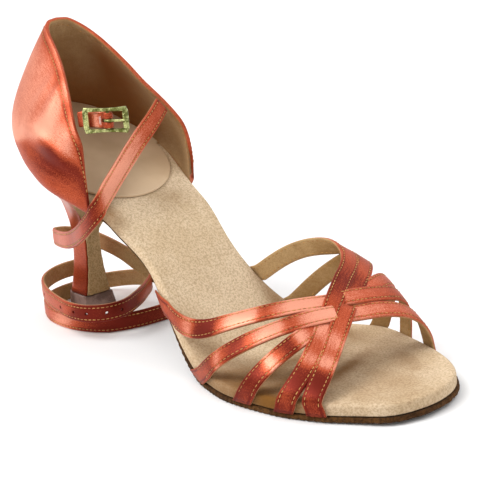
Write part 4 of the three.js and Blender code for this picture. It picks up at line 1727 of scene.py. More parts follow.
        rings, ring_uvs, slots = [], [], []
        tones: list[float] = []
        cap = 6
        outer_row: tuple[list[Vector], list[Vector]] = ([], [])
        inner_row: tuple[list[Vector], list[Vector]] = ([], [])
        seam: tuple[list[Vector], list[Vector]] = ([], [])
        run = 0.0
        for i, column in enumerate(seat):
            if i:
                run += (column[self.levels // 2] - seat[i - 1][self.levels // 2]).length
            ns = [turned(n) for n in inward[i]]
            outer = []
            for k, p in enumerate(column):
                level = k / self.levels
                lift = self.fold(shares[i], level)
                back = math.exp(
                    -((i - self.columns / 2) / 1.6) ** 2
                ) * 0.3 * (1 - level) ** 0.2 if level < 1 else 0
                outer.append(p - ns[k] * lift + ns[k] * back)
            inner = [p + n * self.wall for p, n in zip(column, ns)]
            top, deep, n = outer[-1], inner[-1], ns[-1]
            up = (column[-1] - column[-2]).normalized()
            mid, radius = (top + deep) / 2, self.wall / 2
            arc = [mid + n * (-math.cos(math.pi * q / cap) * radius) + up * (
                math.sin(math.pi * q / cap) * radius * 0.5
            )
                   for q in range(1, cap)]
            arc = [p - up * radius * 0.5 for p in arc]
            ring = outer[:-1] + [top - up * radius * 0.5] + arc + [deep - up * radius * 0.5] + inner[-2::-1]
            rings.append(ring)
            levels = [k / self.levels for k in range(self.levels + 1)]
            tall = max(arc_lengths(column)[-1], 1.0)
            # Painted light and shade of the satin with painted shade in the groove of the collar stitches, a
            # flat tone on the rolled collar, then the lining's painted shade.
            tones += [
                self.tone(shares[i], level) - 0.4 * math.exp(-((((1 - level) * tall - 2.3) / 0.55) ** 2))
                for level in levels
            ] + [0.45] * (cap - 1)
            tones += [self.lining_painted_shade(shares[i], level) for level in reversed(levels)]
            heights = arc_lengths(ring)
            ring_uvs.append([(run * MM, h * MM) for h in heights])
            length = arc_lengths(column)[-1]
            if length > self.stitched_from:
                sides = ((outer_row, outer, -1, self.stitch_depth), (inner_row, inner, 1, self.lining_depth))
                for (line, outs), wall, sign, depth in sides:
                    place = (1 - depth / length) * self.levels
                    k = int(place)
                    point = wall[k].lerp(wall[k + 1], place - k)
                    line.append(row(point + ns[k] * (sign * self.stitch_lift)))
                    outs.append(ns[k] * sign)
            if i == self.columns // 2:
                seam[0].extend(row(p) for p in outer[2:-2])
                seam[1].extend(-n for n in ns[2:-2])
        count = len(rings[0])
        points = [row(p) for ring in rings for p in ring]
        uvs = [uv for line in ring_uvs for uv in line]
        faces = ring_faces(len(rings), count, closed_ends=False)
        for i in range(len(rings) - 1):
            for j in range(count):
                slots.append(0 if j < self.levels + cap // 2 + 1 or j == count - 1 else 1)
        for start in (0, (len(rings) - 1) * count):
            half = self.levels
            for k in range(half):
                faces.append((start + k, start + k + 1, start + count - 2 - k, start + count - 1 - k))
                slots.append(0)
            faces.append(tuple(start + k for k in range(half, count - half)))
            slots.append(0)
        obj = wear(make_mesh("quarter_wall", points, faces, uvs, slots, tones), SATIN, LINING)
        attach(obj, Body.SHOE, Slot.SATIN, "quarter")
        attach(STITCH.along("collar_stitches", [SeamLine(*outer_row)], STITCH_PITCH), Body.SHOE, Slot.SATIN)
        attach(
            STITCH.along("lining_stitches", [SeamLine(*inner_row)], LINING_PITCH, 0.8), Body.SHOE, Slot.SUEDE
        )
        attach(RED_STITCH.along(
            "back_seam_stitches", [SeamLine(*seam)], LINING_PITCH, LINING_STITCH
        ), Body.SHOE, Slot.SATIN)


# Straps.


@dataclass
class Stop:
    """One section of a strap."""

    point: Vector
    across: Vector
    out: Vector
    run: Vector
    thickness: float


@dataclass
class Strap:
    """A flat strap: satin outside, suede inside, turned edges and two rows of stitches."""

    name: str
    stops: list[Stop]
    width: float = 6.8
    stitch_inset: float = 1.05
    crown: float = 0.12
    edge_round: float = 0.30
    hole_radius: float = 0.62
    holes: tuple[int, ...] = ()
    # Painted sheen bands and painted shade along the strap, by share of its length.
    painted_sheen: Curve = lambda share: 0.5

    def section(self, thickness: float) -> list[tuple[float, float, int]]:
        """Section points as across, out and material slot, round the strap.

        Args:
            thickness: Thickness there.

        Returns:
            The points.
        """
        half, thick = self.width / 2, thickness / 2
        crown, radius = self.crown * thickness, self.edge_round * thickness
        points: list[tuple[float, float, int]] = []
        flat = half - radius
        cols = 22
        for k in range(cols + 1):
            a = lerp(-flat, flat, k / cols)
            sag = crown * (abs(a) / flat) ** 2
            groove = 0.10 * math.exp(-(((half - abs(a) - self.stitch_inset) / 0.28) ** 2))
            points.append((a, thick - sag - groove * 0.5, 0))
        for k in range(1, 4):
            angle = math.pi / 2 * k / 4
            points.append(
                (flat + radius * math.sin(angle), thick - crown - radius * (1 - math.cos(angle)), 0)
            )
        points.append((half, thick - crown - radius, 2))
        points.append((half, -thick + radius, 2))
        for k in range(1, 4):
            angle = math.pi / 2 * (1 - k / 4)
            points.append((flat + radius * math.sin(angle), -thick + radius * (1 - math.cos(angle)), 1))
        for k in range(6 + 1):
            points.append((lerp(flat, -flat, k / 6), -thick, 1))
        for k in range(1, 4):
            angle = math.pi / 2 * k / 4
            points.append((-flat - radius * math.sin(angle), -thick + radius * (1 - math.cos(angle)), 1))
        points.append((-half, -thick + radius, 2))
        points.append((-half, thick - crown - radius, 2))
        for k in range(1, 4):
            angle = math.pi / 2 * (1 - k / 4)
            points.append(
                (-flat - radius * math.sin(angle), thick - crown - radius * (1 - math.cos(angle)), 0)
            )
        return points

    def body(self) -> Piece:
        """Skins the strap.

        Returns:
            The piece.
        """
        points, uvs, slots = [], [], []
        tones: list[float] = []
        places = arc_lengths([stop.point for stop in self.stops])
        for stop, place in zip(self.stops, places):
            section = self.section(stop.thickness)
            share = place / places[-1]
            # Painted sheen along the strap, less painted shade in the grooves of its stitches.
            tones += [
                self.painted_sheen(share + 0.01 * item[0] / self.width) - self.stitch_groove_shade(item[0]) for item in section
            ]
            round_way = 0.0
            before = section[0]
            for item in section:
                round_way += math.hypot(item[0] - before[0], item[1] - before[1])
                before = item
                points.append(stop.point + stop.across * item[0] + stop.out * item[1])
                uvs.append((place * MM, round_way * MM))
        section = self.section(1.5)
        count = len(section)
        points += [self.stops[0].point, self.stops[-1].point]
        uvs += [(0.0, 0.0), (places[-1] * MM, 0.0)]
        tones += [0.5, 0.5]
        for _ in range(len(self.stops) - 1):
            for j in range(count):
                k = (j + 1) % count
                slots.append(2 if section[j][2] == 2 and section[k][2] == 2 else section[
                    k if section[j][2] == 2 else j
                ][2])
        slots += [2] * (2 * count)
        faces = ring_faces(len(self.stops), count)
        obj = make_mesh(self.name, [row(p) for p in points], faces, uvs, slots, tones)
        if self.holes:
            self.punch(obj)
        return wear(obj, SATIN, STRAP_LINING, STRAP_EDGE)

    def stitch_groove_shade(self, across: float) -> float:
        """Painted shade in the dip of the satin's stitches, at a place across."""
        return 0.34 * math.exp(-(((self.width / 2 - abs(across) - self.stitch_inset) / 0.36) ** 2))

    def punch(self, obj: Piece) -> None:
        """Punches the buckle holes through the strap.

        Args:
            obj: The strap.
        """
        points: list[Vector] = []
        faces: Faces = []
        sides = 16
        for index in self.holes:
            stop = self.stops[index]
            first = len(points)
            for lift in (-1.5, 1.5):
                for j in range(sides):
                    angle = 2 * math.pi * j / sides
                    flat = stop.across * math.cos(angle) + stop.run * math.sin(angle)
                    points.append(row(stop.point + flat * self.hole_radius + stop.out * lift))
            faces.extend(
                (first + j, first + (j + 1) % sides, first + sides + (j + 1) % sides, first + sides + j)
                for j in range(sides)
            )
            faces.append(tuple(first + j for j in reversed(range(sides))))
            faces.append(tuple(first + sides + j for j in range(sides)))
        cutter = make_mesh("hole_cutter", points, faces)
        modifier = obj.modifiers.new("Holes", "BOOLEAN")
        modifier.operation, modifier.solver, modifier.object = "DIFFERENCE", "EXACT", cutter
        finish_modifiers(obj)
        bpy.data.objects.remove(cutter)
        obj.data.polygons.foreach_set("use_smooth", [True] * len(obj.data.polygons))

    def seams(self, out: int) -> list[SeamLine]:
        """The two stitch rows, on the outside (1) or on the lining (-1).

        Args:
            out: 1 for the outside, -1 for the lining.

        Returns:
            The two lines.
        """
        lines = []
        for side in (-1, 1):
            points, outs = [], []
            for stop in self.stops[2:-2]:
                lift = out * (stop.thickness / 2 - (0.13 if out > 0 else 0.03))
                points.append(row(
                    stop.point + stop.across * side * (self.width / 2 - self.stitch_inset) + stop.out * lift
                ))
                outs.append(stop.out * out)
            lines.append(SeamLine(points, outs))
        return lines


@dataclass
class VampRow:
    """One vamp strap: feet as shares of the length, with a bow and a lean between them."""

    lateral: float
    medial: float
    bow: float
    lean: float
    # Painted sheen bands and painted shade along the strap, as pairs of share and tone.
    painted_sheen: tuple[tuple[float, float], ...]


def painted_sheen_curve(stops: tuple[tuple[float, float], ...]) -> Curve:
    """Curve of a strap's painted sheen and painted shade through pairs of share and tone."""
    return monotone([share for share, _ in stops], [0.46 + (tone - 0.5) * 1.3 for _, tone in stops])


@dataclass
class Vamp:
    """The five crossing straps over the toes."""

    width: float = 6.8
    thickness: float = 1.5
    foot_thickness: float = 1
    foot_share: float = 0.1
    foot_lean: float = 1.2
    instep: float = 60
    skew: float = 0.512
    skew_fall: float = 1.24
    skew_middle: float = 0.65
    side_power: float = 0.915
    crown_power: float = 1.09
    reach: float = 0.075
    # The last table of each row is its strap's painted sheen and painted shade.
    rows: dict = field(default_factory=lambda: {
        "waist": VampRow(0.513, 0.769, 0.1465, 0.0247, (
            (0, 0.45), (0.10, 0.4), (0.16, 0.72), (0.20, 0.2), (0.24, 0.04), (0.28, 0.5), (0.33, 0.95),
            (0.37, 0.97), (0.41, 0.4), (0.45, 0.7), (0.49, 1.0), (0.56, 0.85), (0.64, 0.6), (1, 0.35))),
        "second": VampRow(0.636, 0.839, 0.0765, 0.0122, (
            (0, 0.38), (0.08, 0.4), (0.12, 0.28), (0.16, 0.76), (0.20, 0.34), (0.24, 0.18), (0.28, 0.5),
            (0.33, 0.9), (0.37, 0.88), (0.41, 0.42), (0.46, 0.75), (0.51, 0.92), (0.62, 0.72), (1, 0.4))),
        "middle": VampRow(0.76, 0.703, 0.0514, 0.0106, (
            (0, 0.32), (0.09, 0.18), (0.12, 0.22), (0.16, 0.85), (0.20, 0.38), (0.24, 0.22), (0.28, 0.87),
            (0.33, 0.45), (0.5, 0.4), (0.62, 0.55), (1, 0.4))),
        "fourth": VampRow(0.838, 0.497, 0.0695, 0.0286, (
            (0, 0.22), (0.04, 0.28), (0.08, 0.08), (0.12, 0.24), (0.16, 0.68), (0.20, 0.46), (0.27, 0.8),
            (0.32, 0.58), (0.37, 0.4), (0.44, 0.26), (0.53, 0.32), (0.6, 0.52), (1, 0.4))),
        "front": VampRow(0.88, 0.555, 0.0514, 0.0221, (
            (0, 0.3), (0.04, 0.26), (0.08, 0.0), (0.12, 0.26), (0.16, 0.82), (0.20, 0.58), (0.24, 0.76),
            (0.29, 0.5), (0.36, 0.44), (0.42, 0.52), (0.50, 0.28), (0.58, 0.45), (1, 0.4))),
    })
    weave: tuple = (
        ("fourth", "waist", 0.4, 0.4), ("waist", "front", 0.4, 0.4), ("second", "fourth", 0.4, 0.4),
        ("front", "second", 0.4, 0.4), ("waist", "middle", 0.05, 0.75), ("second", "middle", 0.05, 0.75),
        ("fourth", "middle", 0.05, 0.75), ("front", "middle", 0.05, 0.75),
    )
    form: Curve = monotone(
        (0.396, 0.518, 0.642, 0.766, 0.889, 1), (1.056, 0.86, 0.585, 0.393, 0.15, 0.05)
    )

    def on_instep(self, x: float, share: float) -> Vector:
        """Point on the foot form, from the lateral (0) to the medial edge (1).

        Args:
            x: Place along the shoe.
            share: Share of the way over.

        Returns:
            The point.
        """
        lift = LAST.gap + self.foot_thickness / 2
        lateral, medial = LAST.edge(x, -1) - lift, LAST.edge(x, 1) + lift
        angle = math.pi * (1 - share)
        c, s = math.cos(angle), max(0.0, math.sin(angle))
        skew = self.skew - self.skew_fall * (x / LAST.length - self.skew_middle)
        side = math.copysign(abs(c) ** self.side_power, c) + skew * s * s
        height = self.form(x / LAST.length) * self.instep * s**self.crown_power
        return Vector((x, (lateral + medial) / 2 + (medial - lateral) / 2 * side, LAST.top(x) + height))

    @staticmethod
    def line(item: VampRow, share: float) -> float:
        """Place along the shoe of a strap's middle line."""
        bow = item.bow * math.sin(math.pi * share) + item.lean * math.sin(2 * math.pi * share)
        return LAST.length * (lerp(item.lateral, item.medial, share) + bow)

    def crossing(self, first: VampRow, second: VampRow) -> tuple[float, float]:
        """Shares along two straps where they come closest.

        Args:
            first: One strap.
            second: The other.

        Returns:
            The share along each.
        """
        shares = [i / 100 for i in range(10, 91)]
        one = [(a, self.on_instep(self.line(first, a), a)) for a in shares]
        two = [(b, self.on_instep(self.line(second, b), b)) for b in shares]
        return min(((p - q).length, a, b) for a, p in one for b, q in two)[1:]

    def stops(self, item: VampRow, lifts: list[tuple[float, float]], steps: int = 96) -> list[Stop]:
        """Sections of a strap over the form, thin and level with the sole at its feet.

        Args:
            item: The strap's row.
            lifts: Place and rise of each crossing.
            steps: Steps along it.

        Returns:
            The sections.
        """
        tiny = 0.004
        result = []

        def at(t: float) -> Vector:
            """Middle line of the strap."""
            return self.on_instep(self.line(item, t), t)

        for i in range(steps + 1):
            share = clamp(i / steps, tiny, 1 - tiny)
            x = self.line(item, share)
            run = (at(share + tiny / 2) - at(share - tiny / 2)).normalized()
            along = self.on_instep(x + 0.4, share) - self.on_instep(x - 0.4, share)
            around = self.on_instep(x, share + tiny / 2) - self.on_instep(x, share - tiny / 2)
            out = along.cross(around).normalized()
            out = (out - run * out.dot(run)).normalized()
            across = run.cross(out).normalized()
            raise_by = max(
                (rise * math.exp(-(((share - place) / self.reach) ** 2)) for place, rise in lifts), key=abs
            )
            foot = 1 - smooth(min(share, 1 - share), 0, self.foot_share)
            if foot > 0:
                up = LAST.on_sole(x, 0, 1) - LAST.on_sole(x, 0, 0)
                lean = clamp(-across.dot(up) / run.dot(up), -self.foot_lean, self.foot_lean)
                across = across + run * (lean * foot)
            thickness = lerp(self.thickness, self.foot_thickness, foot)
            result.append(Stop(at(share) + out * raise_by, across, out, run, thickness))
        feet = {}
        for side, stop in ((-1, result[0]), (1, result[-1])):
            feet[side] = [self.foot(item, side, stop, lift) for lift in (-LAST.insole, -LAST.insole / 2)]
        return feet[-1] + result + feet[1][::-1]

    def foot(self, item: VampRow, side: int, stop: Stop, lift: float) -> Stop:
        """Section beside the insole's edge.

        Args:
            item: The strap's row.
            side: -1 for lateral, 1 for medial.
            stop: The strap's end section.
            lift: Height from the insole's top.

        Returns:
            The section.
        """
        place = self.line(item, 0 if side < 0 else 1)
        up = LAST.on_sole(place, 0, 1) - LAST.on_sole(place, 0, 0)
        lean = clamp(
            (stop.run.x * up.z - stop.run.z * up.x) / stop.run.dot(up), -self.foot_lean, self.foot_lean
        )
        x = place + lean * lift

        def edge(at: float) -> Vector:
            """Point of the insole's edge at this lift."""
            return LAST.on_sole(at, LAST.edge(at, side), lift)

        tangent = (edge(x + 0.4) - edge(x - 0.4)).normalized()
        outward = up.cross(tangent) * side
        point = edge(x) + outward * (LAST.gap + self.foot_thickness / 2)
        across = tangent * math.copysign(math.hypot(1, lean), tangent.dot(stop.across))
        return Stop(
            point, across, outward * math.copysign(1, outward.dot(stop.out)), stop.run, stop.thickness
        )

    def build(self) -> None:
        """Builds the five straps and their stitches."""
        lifts: dict[str, list[tuple[float, float]]] = {name: [] for name in self.rows}
        for over, under, rise, drop in self.weave:
            a, b = self.crossing(self.rows[over], self.rows[under])
            lifts[over].append((a, rise * self.thickness))
            lifts[under].append((b, -drop * self.thickness))
        outer, inner = [], []
        for number, (name, item) in enumerate(self.rows.items()):
            strap = Strap(f"vamp_strap_{name}", self.stops(item, lifts[name]), painted_sheen=painted_sheen_curve(item.painted_sheen))
            nodes = ("vamp_straps",) if number == 0 else ()
            attach(strap.body(), Body.SHOE, Slot.SATIN, *nodes)
            outer += strap.seams(1)
            inner += strap.seams(-1)
        attach(STITCH.along("vamp_stitches", outer, STITCH_PITCH), Body.SHOE, Slot.SATIN)
        attach(
            STITCH.along("vamp_lining_stitches", inner, LINING_PITCH, LINING_STITCH), Body.SHOE, Slot.SATIN
        )


@dataclass
class Ankle:
    """The loose ankle strap: from the medial collar past the neck, in two rounds about the heel."""

    width: float = 6.8
    thickness: float = 1.5
    floor_clearance: float = 0.2
    steps: int = 560
    # Painted sheen bands and painted shade along the strap, as pairs of share and tone.
    painted_sheen: tuple = (
        (0, 0.4), (0.03, 0.55), (0.06, 0.82), (0.10, 0.88), (0.122, 0.22), (0.15, 0.42), (0.19, 0.4),
        (0.22, 0.58), (0.27, 0.55), (0.4, 0.4), (0.47, 0.22), (0.50, 0.08), (0.53, 0.3), (0.552, 0.8),
        (0.58, 0.48), (0.65, 0.4), (0.75, 0.5), (0.79, 0.36), (0.83, 0.1), (0.86, 0.14), (0.88, 0.46),
        (0.91, 0.5), (1, 0.4),
    )
    hole_pixels: tuple = (
        (122.5, 311.2), (106.4, 315.2), (87.3, 317.4), (74.6, 314.8), (62, 307.4), (47.5, 293.3)
    )
    rows: tuple = (
        (0.794, 0.692, 0.963, -22), (0.847, 0.411, 0.913, -27), (0.893, 0.034, 0.841, -31),
        (0.941, -0.350, 0.760, -31), (1.004, -0.749, 0.681, -28), (1.033, -1.027, 0.609, -6),
        (0.917, -1.065, 0.518, 0), (0.593, -0.779, 0.401, 0), (0.264, -0.456, 0.331, 0),
        (0.049, -0.190, 0.300, 0), (0.009, 0.076, 0.281, 0), (0.080, 0.327, 0.263, 0),
        (0.207, 0.456, 0.232, 0), (0.334, 0.570, 0.189, 0), (0.443, 0.707, 0.121, 0),
        (0.600, 0.859, 0.049, 0), (0.750, 0.837, 0.011, 0), (0.837, 0.570, 0.000, 0),
        (0.846, 0.152, 0.000, 0), (0.820, -0.266, 0.000, 0), (0.754, -0.608, 0.000, 0),
        (0.640, -0.798, 0.000, 0), (0.486, -0.886, 0.000, 0), (0.307, -0.852, 0.000, 0),
        (0.157, -0.662, 0.000, 0), (0.077, -0.342, 0.000, 0), (0.056, 0.076, 0.001, 0),
        (0.083, 0.494, 0.008, 0), (0.186, 0.791, 0.020, 0), (0.343, 0.897, 0.038, 0),
        (0.500, 0.707, 0.060, 0), (0.654, 0.342, 0.078, 0), (0.786, -0.061, 0.087, 0),
        (0.866, -0.479, 0.087, 0), (0.851, -0.768, 0.087, 0), (0.771, -0.966, 0.086, 0),
        (0.657, -1.034, 0.086, 0), (0.486, -0.981, 0.086, 0), (0.266, -0.821, 0.086, 0),
        (0.114, -0.601, 0.090, 0), (0.034, -0.327, 0.094, 0), (0.011, -0.076, 0.099, 0),
        (0.026, 0.137, 0.104, 0),
    )

    def centreline(self) -> tuple[list[Vector], list[Vector], list[float]]:
        """Points, directions and turns evenly spaced along a centripetal curve through the rows.

        Returns:
            The points, directions and turns.
        """
        lying = self.floor_clearance + self.width / 2
        knots = [
            Vector(
                (a * Quarter.length, b * Quarter.collar, lying + z * LAST.seat_rise)
            ) for a, b, z, _ in self.rows
        ]

        def curve(t: float) -> Vector:
            """Point at a share of the knots.

            Args:
                t: Share of the knots.

            Returns:
                The point.
            """
            place = t * (len(knots) - 1)
            i = min(int(place), len(knots) - 2)
            w = place - i
            b, c = knots[i], knots[i + 1]
            a = knots[i - 1] if i else b + (b - c)
            d = knots[i + 2] if i + 2 < len(knots) else c + (c - b)
            d0, d1, d2 = ((q - p).length_squared ** 0.25 for p, q in ((a, b), (b, c), (c, d)))
            d1 = max(d1, 1e-4)
            d0, d2 = (d0 if d0 > 1e-4 else d1), (d2 if d2 > 1e-4 else d1)
            m1 = ((b - a) / d0 - (c - a) / (d0 + d1) + (c - b) / d1) * d1
            m2 = ((c - b) / d1 - (d - b) / (d1 + d2) + (d - c) / d2) * d1
            return (
                b * (2 * w**3 - 3 * w * w + 1) + m1 * (w**3 - 2 * w * w + w)
                + c * (3 * w * w - 2 * w**3) + m2 * (w**3 - w * w)
            )

        fine = 2400
        line = [curve(i / fine) for i in range(fine + 1)]
        lengths = arc_lengths(line)
        turns = [row_[3] for row_ in self.rows]
        points, runs, rolls = [], [], []
        j = 0
        for i in range(self.steps + 1):
            want = lengths[-1] * i / self.steps
            while j < fine - 1 and lengths[j + 1] < want:
                j += 1
            t = (j + (want - lengths[j]) / max(lengths[j + 1] - lengths[j], 1e-9)) / fine
            points.append(curve(clamp(t, 0, 1)))
            runs.append((curve(min(1, t + 0.0004)) - curve(max(0, t - 0.0004))).normalized())
            place = (i / self.steps) * (len(self.rows) - 1)
            low = min(int(place), len(self.rows) - 2)
            rolls.append(lerp(turns[low], turns[low + 1], place - low))
        return points, runs, rolls

    def stops(self) -> list[Stop]:
        """Sections along the strap.

        Returns:
            The sections.
        """
        result = []
        for point, run, roll in zip(*self.centreline()):
            out = Vector((0, 0, 1)).cross(run).normalized()
            out = Matrix.Rotation(math.radians(-roll), 3, run) @ out
            result.append(Stop(point, run.cross(out).normalized(), out, run, self.thickness))
        return result

    def hole_places(self, stops: list[Stop]) -> tuple[int, ...]:
        """Indices of the sections at the punched holes, on the last round.

        Args:
            stops: The strap's sections.

        Returns:
            One index for each hole.
        """
        found = []
        last = range(int(len(stops) * 0.68), len(stops) - 6)
        for px in self.hole_pixels:
            best = min(last, key=lambda i: (Vector(Camera.pixel(row(stops[i].point))) - Vector(px)).length)
            found.append(best)
        return tuple(found)

    def build(self) -> None:
        """Builds the strap and its stitches."""
        stops = self.stops()
        strap = Strap("ankle_band", stops, painted_sheen=painted_sheen_curve(self.painted_sheen))
        strap.holes = self.hole_places(stops)
        attach(strap.body(), Body.SHOE, Slot.SATIN, "ankle_strap")
        attach(STITCH.along("ankle_stitches", strap.seams(1), STITCH_PITCH), Body.SHOE, Slot.SATIN)
        attach(STITCH.along(
            "ankle_lining_stitches", strap.seams(-1), LINING_PITCH, LINING_STITCH
        ), Body.SHOE, Slot.SATIN)


# Buckle.


@dataclass
class Buckle:
    """The unfastened buckle: frame, prong and the tab that holds it."""

    length: float = 17.4
    height: float = 9.6
    bar: float = 1.5
    end_bar: float = 2.2
    bar_ahead: float = 9.6
    centre_radius: float = 0.65
    prong_radius: float = 0.55
    tab_width: float = 5.6
    tab_layer: float = 0.9
    tab_turn: float = math.radians(-19)
    slit_width: float = 1.3
    slit_reach: float = 2.1
    turn: float = math.radians(38)
    clearance: float = 0.25
    prong_wall: float = 0.9
    prong_past: float = 0.2
    tab_tail: float = 3.4
    tab_fold: float = 0.62
    tab_fit: float = 0.96
    corner_width: float = 1.9
    rail_bow: float = 0.25
    place: float = 0.888
    half: float = 0.597
    rise: float = 0.7815

    def matrix(self, extra: float = 0.0) -> Matrix:
        """Buckle frame to the last's frame."""
        at = LAST.on_seat(
            self.place * Quarter.length, -self.half * Quarter.collar, self.rise * Quarter.counter
        )
        return Matrix.Translation(at) @ Matrix.Rotation(self.turn + extra, 4, "Z")

    def to_row(self, extra: float = 0.0) -> Matrix:
        """Buckle frame, in millimetres, to the shared frame, in metres."""
        return Matrix.Scale(MM, 4) @ Matrix.Translation((-HEEL_AXIS, 0, 0)) @ self.matrix(extra)

    def placed(self, obj: Piece, extra: float = 0.0) -> Piece:
        """Moves a mesh built in the buckle's own frame, in millimetres, to its place.

        Args:
            obj: The mesh.
            extra: Extra turn about the bar.

        Returns:
            The same object.
        """
        obj.data.transform(self.to_row(extra))
        return obj

    def tube(self, name: str, path: list[Vector], sizes: list[tuple[float, float]], sides: int = 16) -> Piece:
        """Closed loop of rounded bar in the XZ plane, with a width and a depth at each point.

        Args:
            name: Object name.
            path: Points of the loop.
            sizes: Width and depth at each point.
            sides: Points in a ring.

        Returns:
            The object.
        """
        points = []
        total = len(path)
        for i, p in enumerate(path):
            run = (path[(i + 1) % total] - path[i - 1]).normalized()
            side = Vector((run.z, 0, -run.x))
            width, depth = sizes[i]
            for j in range(sides):
                angle = 2 * math.pi * (j + 0.5) / sides
                c, s = math.cos(angle), math.sin(angle)
                squash = 0.5
                c, s = math.copysign(abs(c) ** squash, c), math.copysign(abs(s) ** squash, s)
                points.append(p + side * (c * width / 2) + Vector((0, s * depth / 2, 0)))
        return make_mesh(name, points, hoop_faces(total, sides))

    def frame(self) -> Piece:
        """The rectangular frame with wider end bars, bowed rails, knobbed corners and a centre bar.

        Returns:
            The piece.
        """
        rear, front = -self.bar_ahead, self.length - self.bar_ahead
        rail = self.height / 2 - self.bar / 2
        left, right = rear + self.end_bar / 2, front - self.end_bar / 2
        path, sizes = [], []
        steps = 12
        corners = [(left, -rail), (right, -rail), (right, rail), (left, rail)]
        for n, (a, b) in enumerate(zip(corners, corners[1:] + corners[:1])):
            for i in range(steps):
                t = i / steps
                p = Vector((lerp(a[0], b[0], t), 0, lerp(a[1], b[1], t)))
                if n % 2 == 0:
                    p.z -= math.copysign(self.rail_bow * math.sin(math.pi * t), a[1])
                    width = lerp(self.corner_width, self.bar * 0.86, math.sin(math.pi * t) ** 0.5)
                else:
                    width = lerp(self.corner_width, self.end_bar * 1.02, math.sin(math.pi * t) ** 0.4)
                path.append(p)
                sizes.append((width, self.bar))
        obj = self.tube("buckle_rim", path, sizes)
        bar = []
        sides = 14
        for i in range(7):
            z = lerp(-rail, rail, i / 6)
            for j in range(sides):
                angle = 2 * math.pi * j / sides
                bar.append(
                    Vector((self.centre_radius * math.cos(angle), self.centre_radius * math.sin(angle), z))
                )
        bar += [Vector((0, 0, -rail)), Vector((0, 0, rail))]
        centre = make_mesh("centre_bar", bar, ring_faces(7, sides))
        self.join(obj, centre)
        return wear(self.placed(obj), PALE_GOLD)

    @staticmethod
    def join(obj: Piece, *others: Piece) -> Piece:
        """Joins plain meshes into the first.

        Args:
            obj: Mesh that is kept.
            others: Meshes that join it.

        Returns:
            The kept object.
        """
        box = bmesh.new()
        for item in (obj, *others):
            box.from_mesh(item.data)
        box.to_mesh(obj.data)
        box.free()
        for item in others:
            bpy.data.objects.remove(item)
        return obj

    def facets(self) -> Piece:
        """Plain raised facets in two rows on each end bar.

        Returns:
            The piece.
        """
        lines = []
        matrix = self.to_row()
        out = (self.matrix().to_3x3() @ Vector((0, -1, 0))).normalized()
        for x in (-self.bar_ahead + self.end_bar / 2, self.length - self.bar_ahead - self.end_bar / 2):
            for shift in (-0.42, 0.42):
                points = [matrix @ Vector((x + shift, -self.bar / 2 + 0.03, z)) for z in (-3.3, 0, 3.3)]
                lines.append(SeamLine(points, [out] * 3))
        return GEM.along("end_bar_facets", lines, 0.82 * MM)

    def prong(self) -> Piece:
        """The prong: a rod that starts in an eye round the centre bar.

        Returns:
            The piece.
        """
        inside = self.centre_radius + self.clearance
        mid, tube = inside + self.prong_wall / 2, self.prong_wall / 2
        points, sides, turns = [], 10, 28
        for i in range(turns):
            angle = 2 * math.pi * i / turns
            for j in range(sides):
                a = 2 * math.pi * j / sides
                r = mid + tube * math.cos(a)
                points.append(
                    Vector((r * math.cos(angle), r * math.sin(angle), self.prong_radius * math.sin(a)))
                )
        ring = make_mesh("prong_eye", points, hoop_faces(turns, sides))
        reach = self.length - self.bar_ahead + self.prong_past
        height = self.bar / 2 + LAST.gap + self.prong_radius
        rod, steps, round_count = [], 16, 12
        for i in range(steps + 1):
            t = i / steps
            radius = self.prong_radius * (1 - 0.25 * t) * (
                math.sqrt(max(0.02, 1 - max(0, t - 0.9) ** 2 * 98))
            )
            for j in range(round_count):
                a = 2 * math.pi * j / round_count
                rod.append(Vector((reach * t, -height + radius * math.sin(a), radius * math.cos(a))))
        rod += [Vector((0, -height, 0)), Vector((reach, -height, 0))]
        pin = make_mesh("prong_rod", rod, ring_faces(steps + 1, round_count))
        self.join(ring, pin)
        ring.name = "buckle_pin"
        return wear(self.placed(ring), PALE_GOLD)

    def tab_line(self) -> list[tuple[float, float]]:
        """Middle line of the folded tab: rear to the bar on the outside, round it and back inside.

        Returns:
            The points, as X and Y.
        """
        radius = self.centre_radius + LAST.gap + self.tab_layer / 2
        tail = self.bar_ahead + self.tab_tail
        start = math.radians(40)
        line = [(lerp(-tail, -radius * 1.25, i / 26), -self.tab_fold * radius) for i in range(26)]
        for i in range(31):
            angle = lerp(-math.pi + start, math.pi - start, i / 30)
            line.append((radius * math.cos(angle), radius * math.sin(angle)))
        line += [(lerp(-radius * 1.25, -tail, i / 25), self.tab_fold * radius) for i in range(26)]
        return line

    def tab_painted_light(self, x: float) -> float:
        """Painted light and shade of the tab's satin: painted shade where it leaves the collar and by the
        bar, painted highlight between.
        """
        return 0.30 + 0.5 * math.exp(-(((x + 4.6) / 1.6) ** 2)) + 0.2 * math.exp(-(((x + 10.5) / 1.5) ** 2))

    def tab(self) -> Piece:
        """The satin tab, folded round the centre bar, open in a slit where the prong turns.

        Returns:
            The piece.
        """
        line = self.tab_line()
        half = self.tab_width / 2
        slit = self.slit_width / 2
        points, faces, uvs, slots, tones = [], [], [], [], []
        zs = [
            lerp(-half, -slit, k / 4) for k in range(5)
        ] + [0.0] + [lerp(slit, half, k / 4) for k in range(5)]
        zs = sorted(set(round(z, 5) for z in zs))
        thick = self.tab_layer / 2 * self.tab_fit
        lengths = arc_lengths([Vector((x, y)) for x, y in line])
        for i, (x, y) in enumerate(line):
            a, b = line[max(i - 1, 0)], line[min(i + 1, len(line) - 1)]
            run = Vector((b[0] - a[0], b[1] - a[1])).normalized()
            out = Vector((run.y, -run.x))
            for z in zs:
                edge = smooth(half - abs(z), 0, 0.5)
                for sign in (1, -1):
                    lift = sign * thick * lerp(0.55, 1.0, edge)
                    points.append(Vector((x + out.x * lift, y + out.y * lift, z)))
                    uvs.append((lengths[i] * MM, (z + sign * 0.1) * MM))
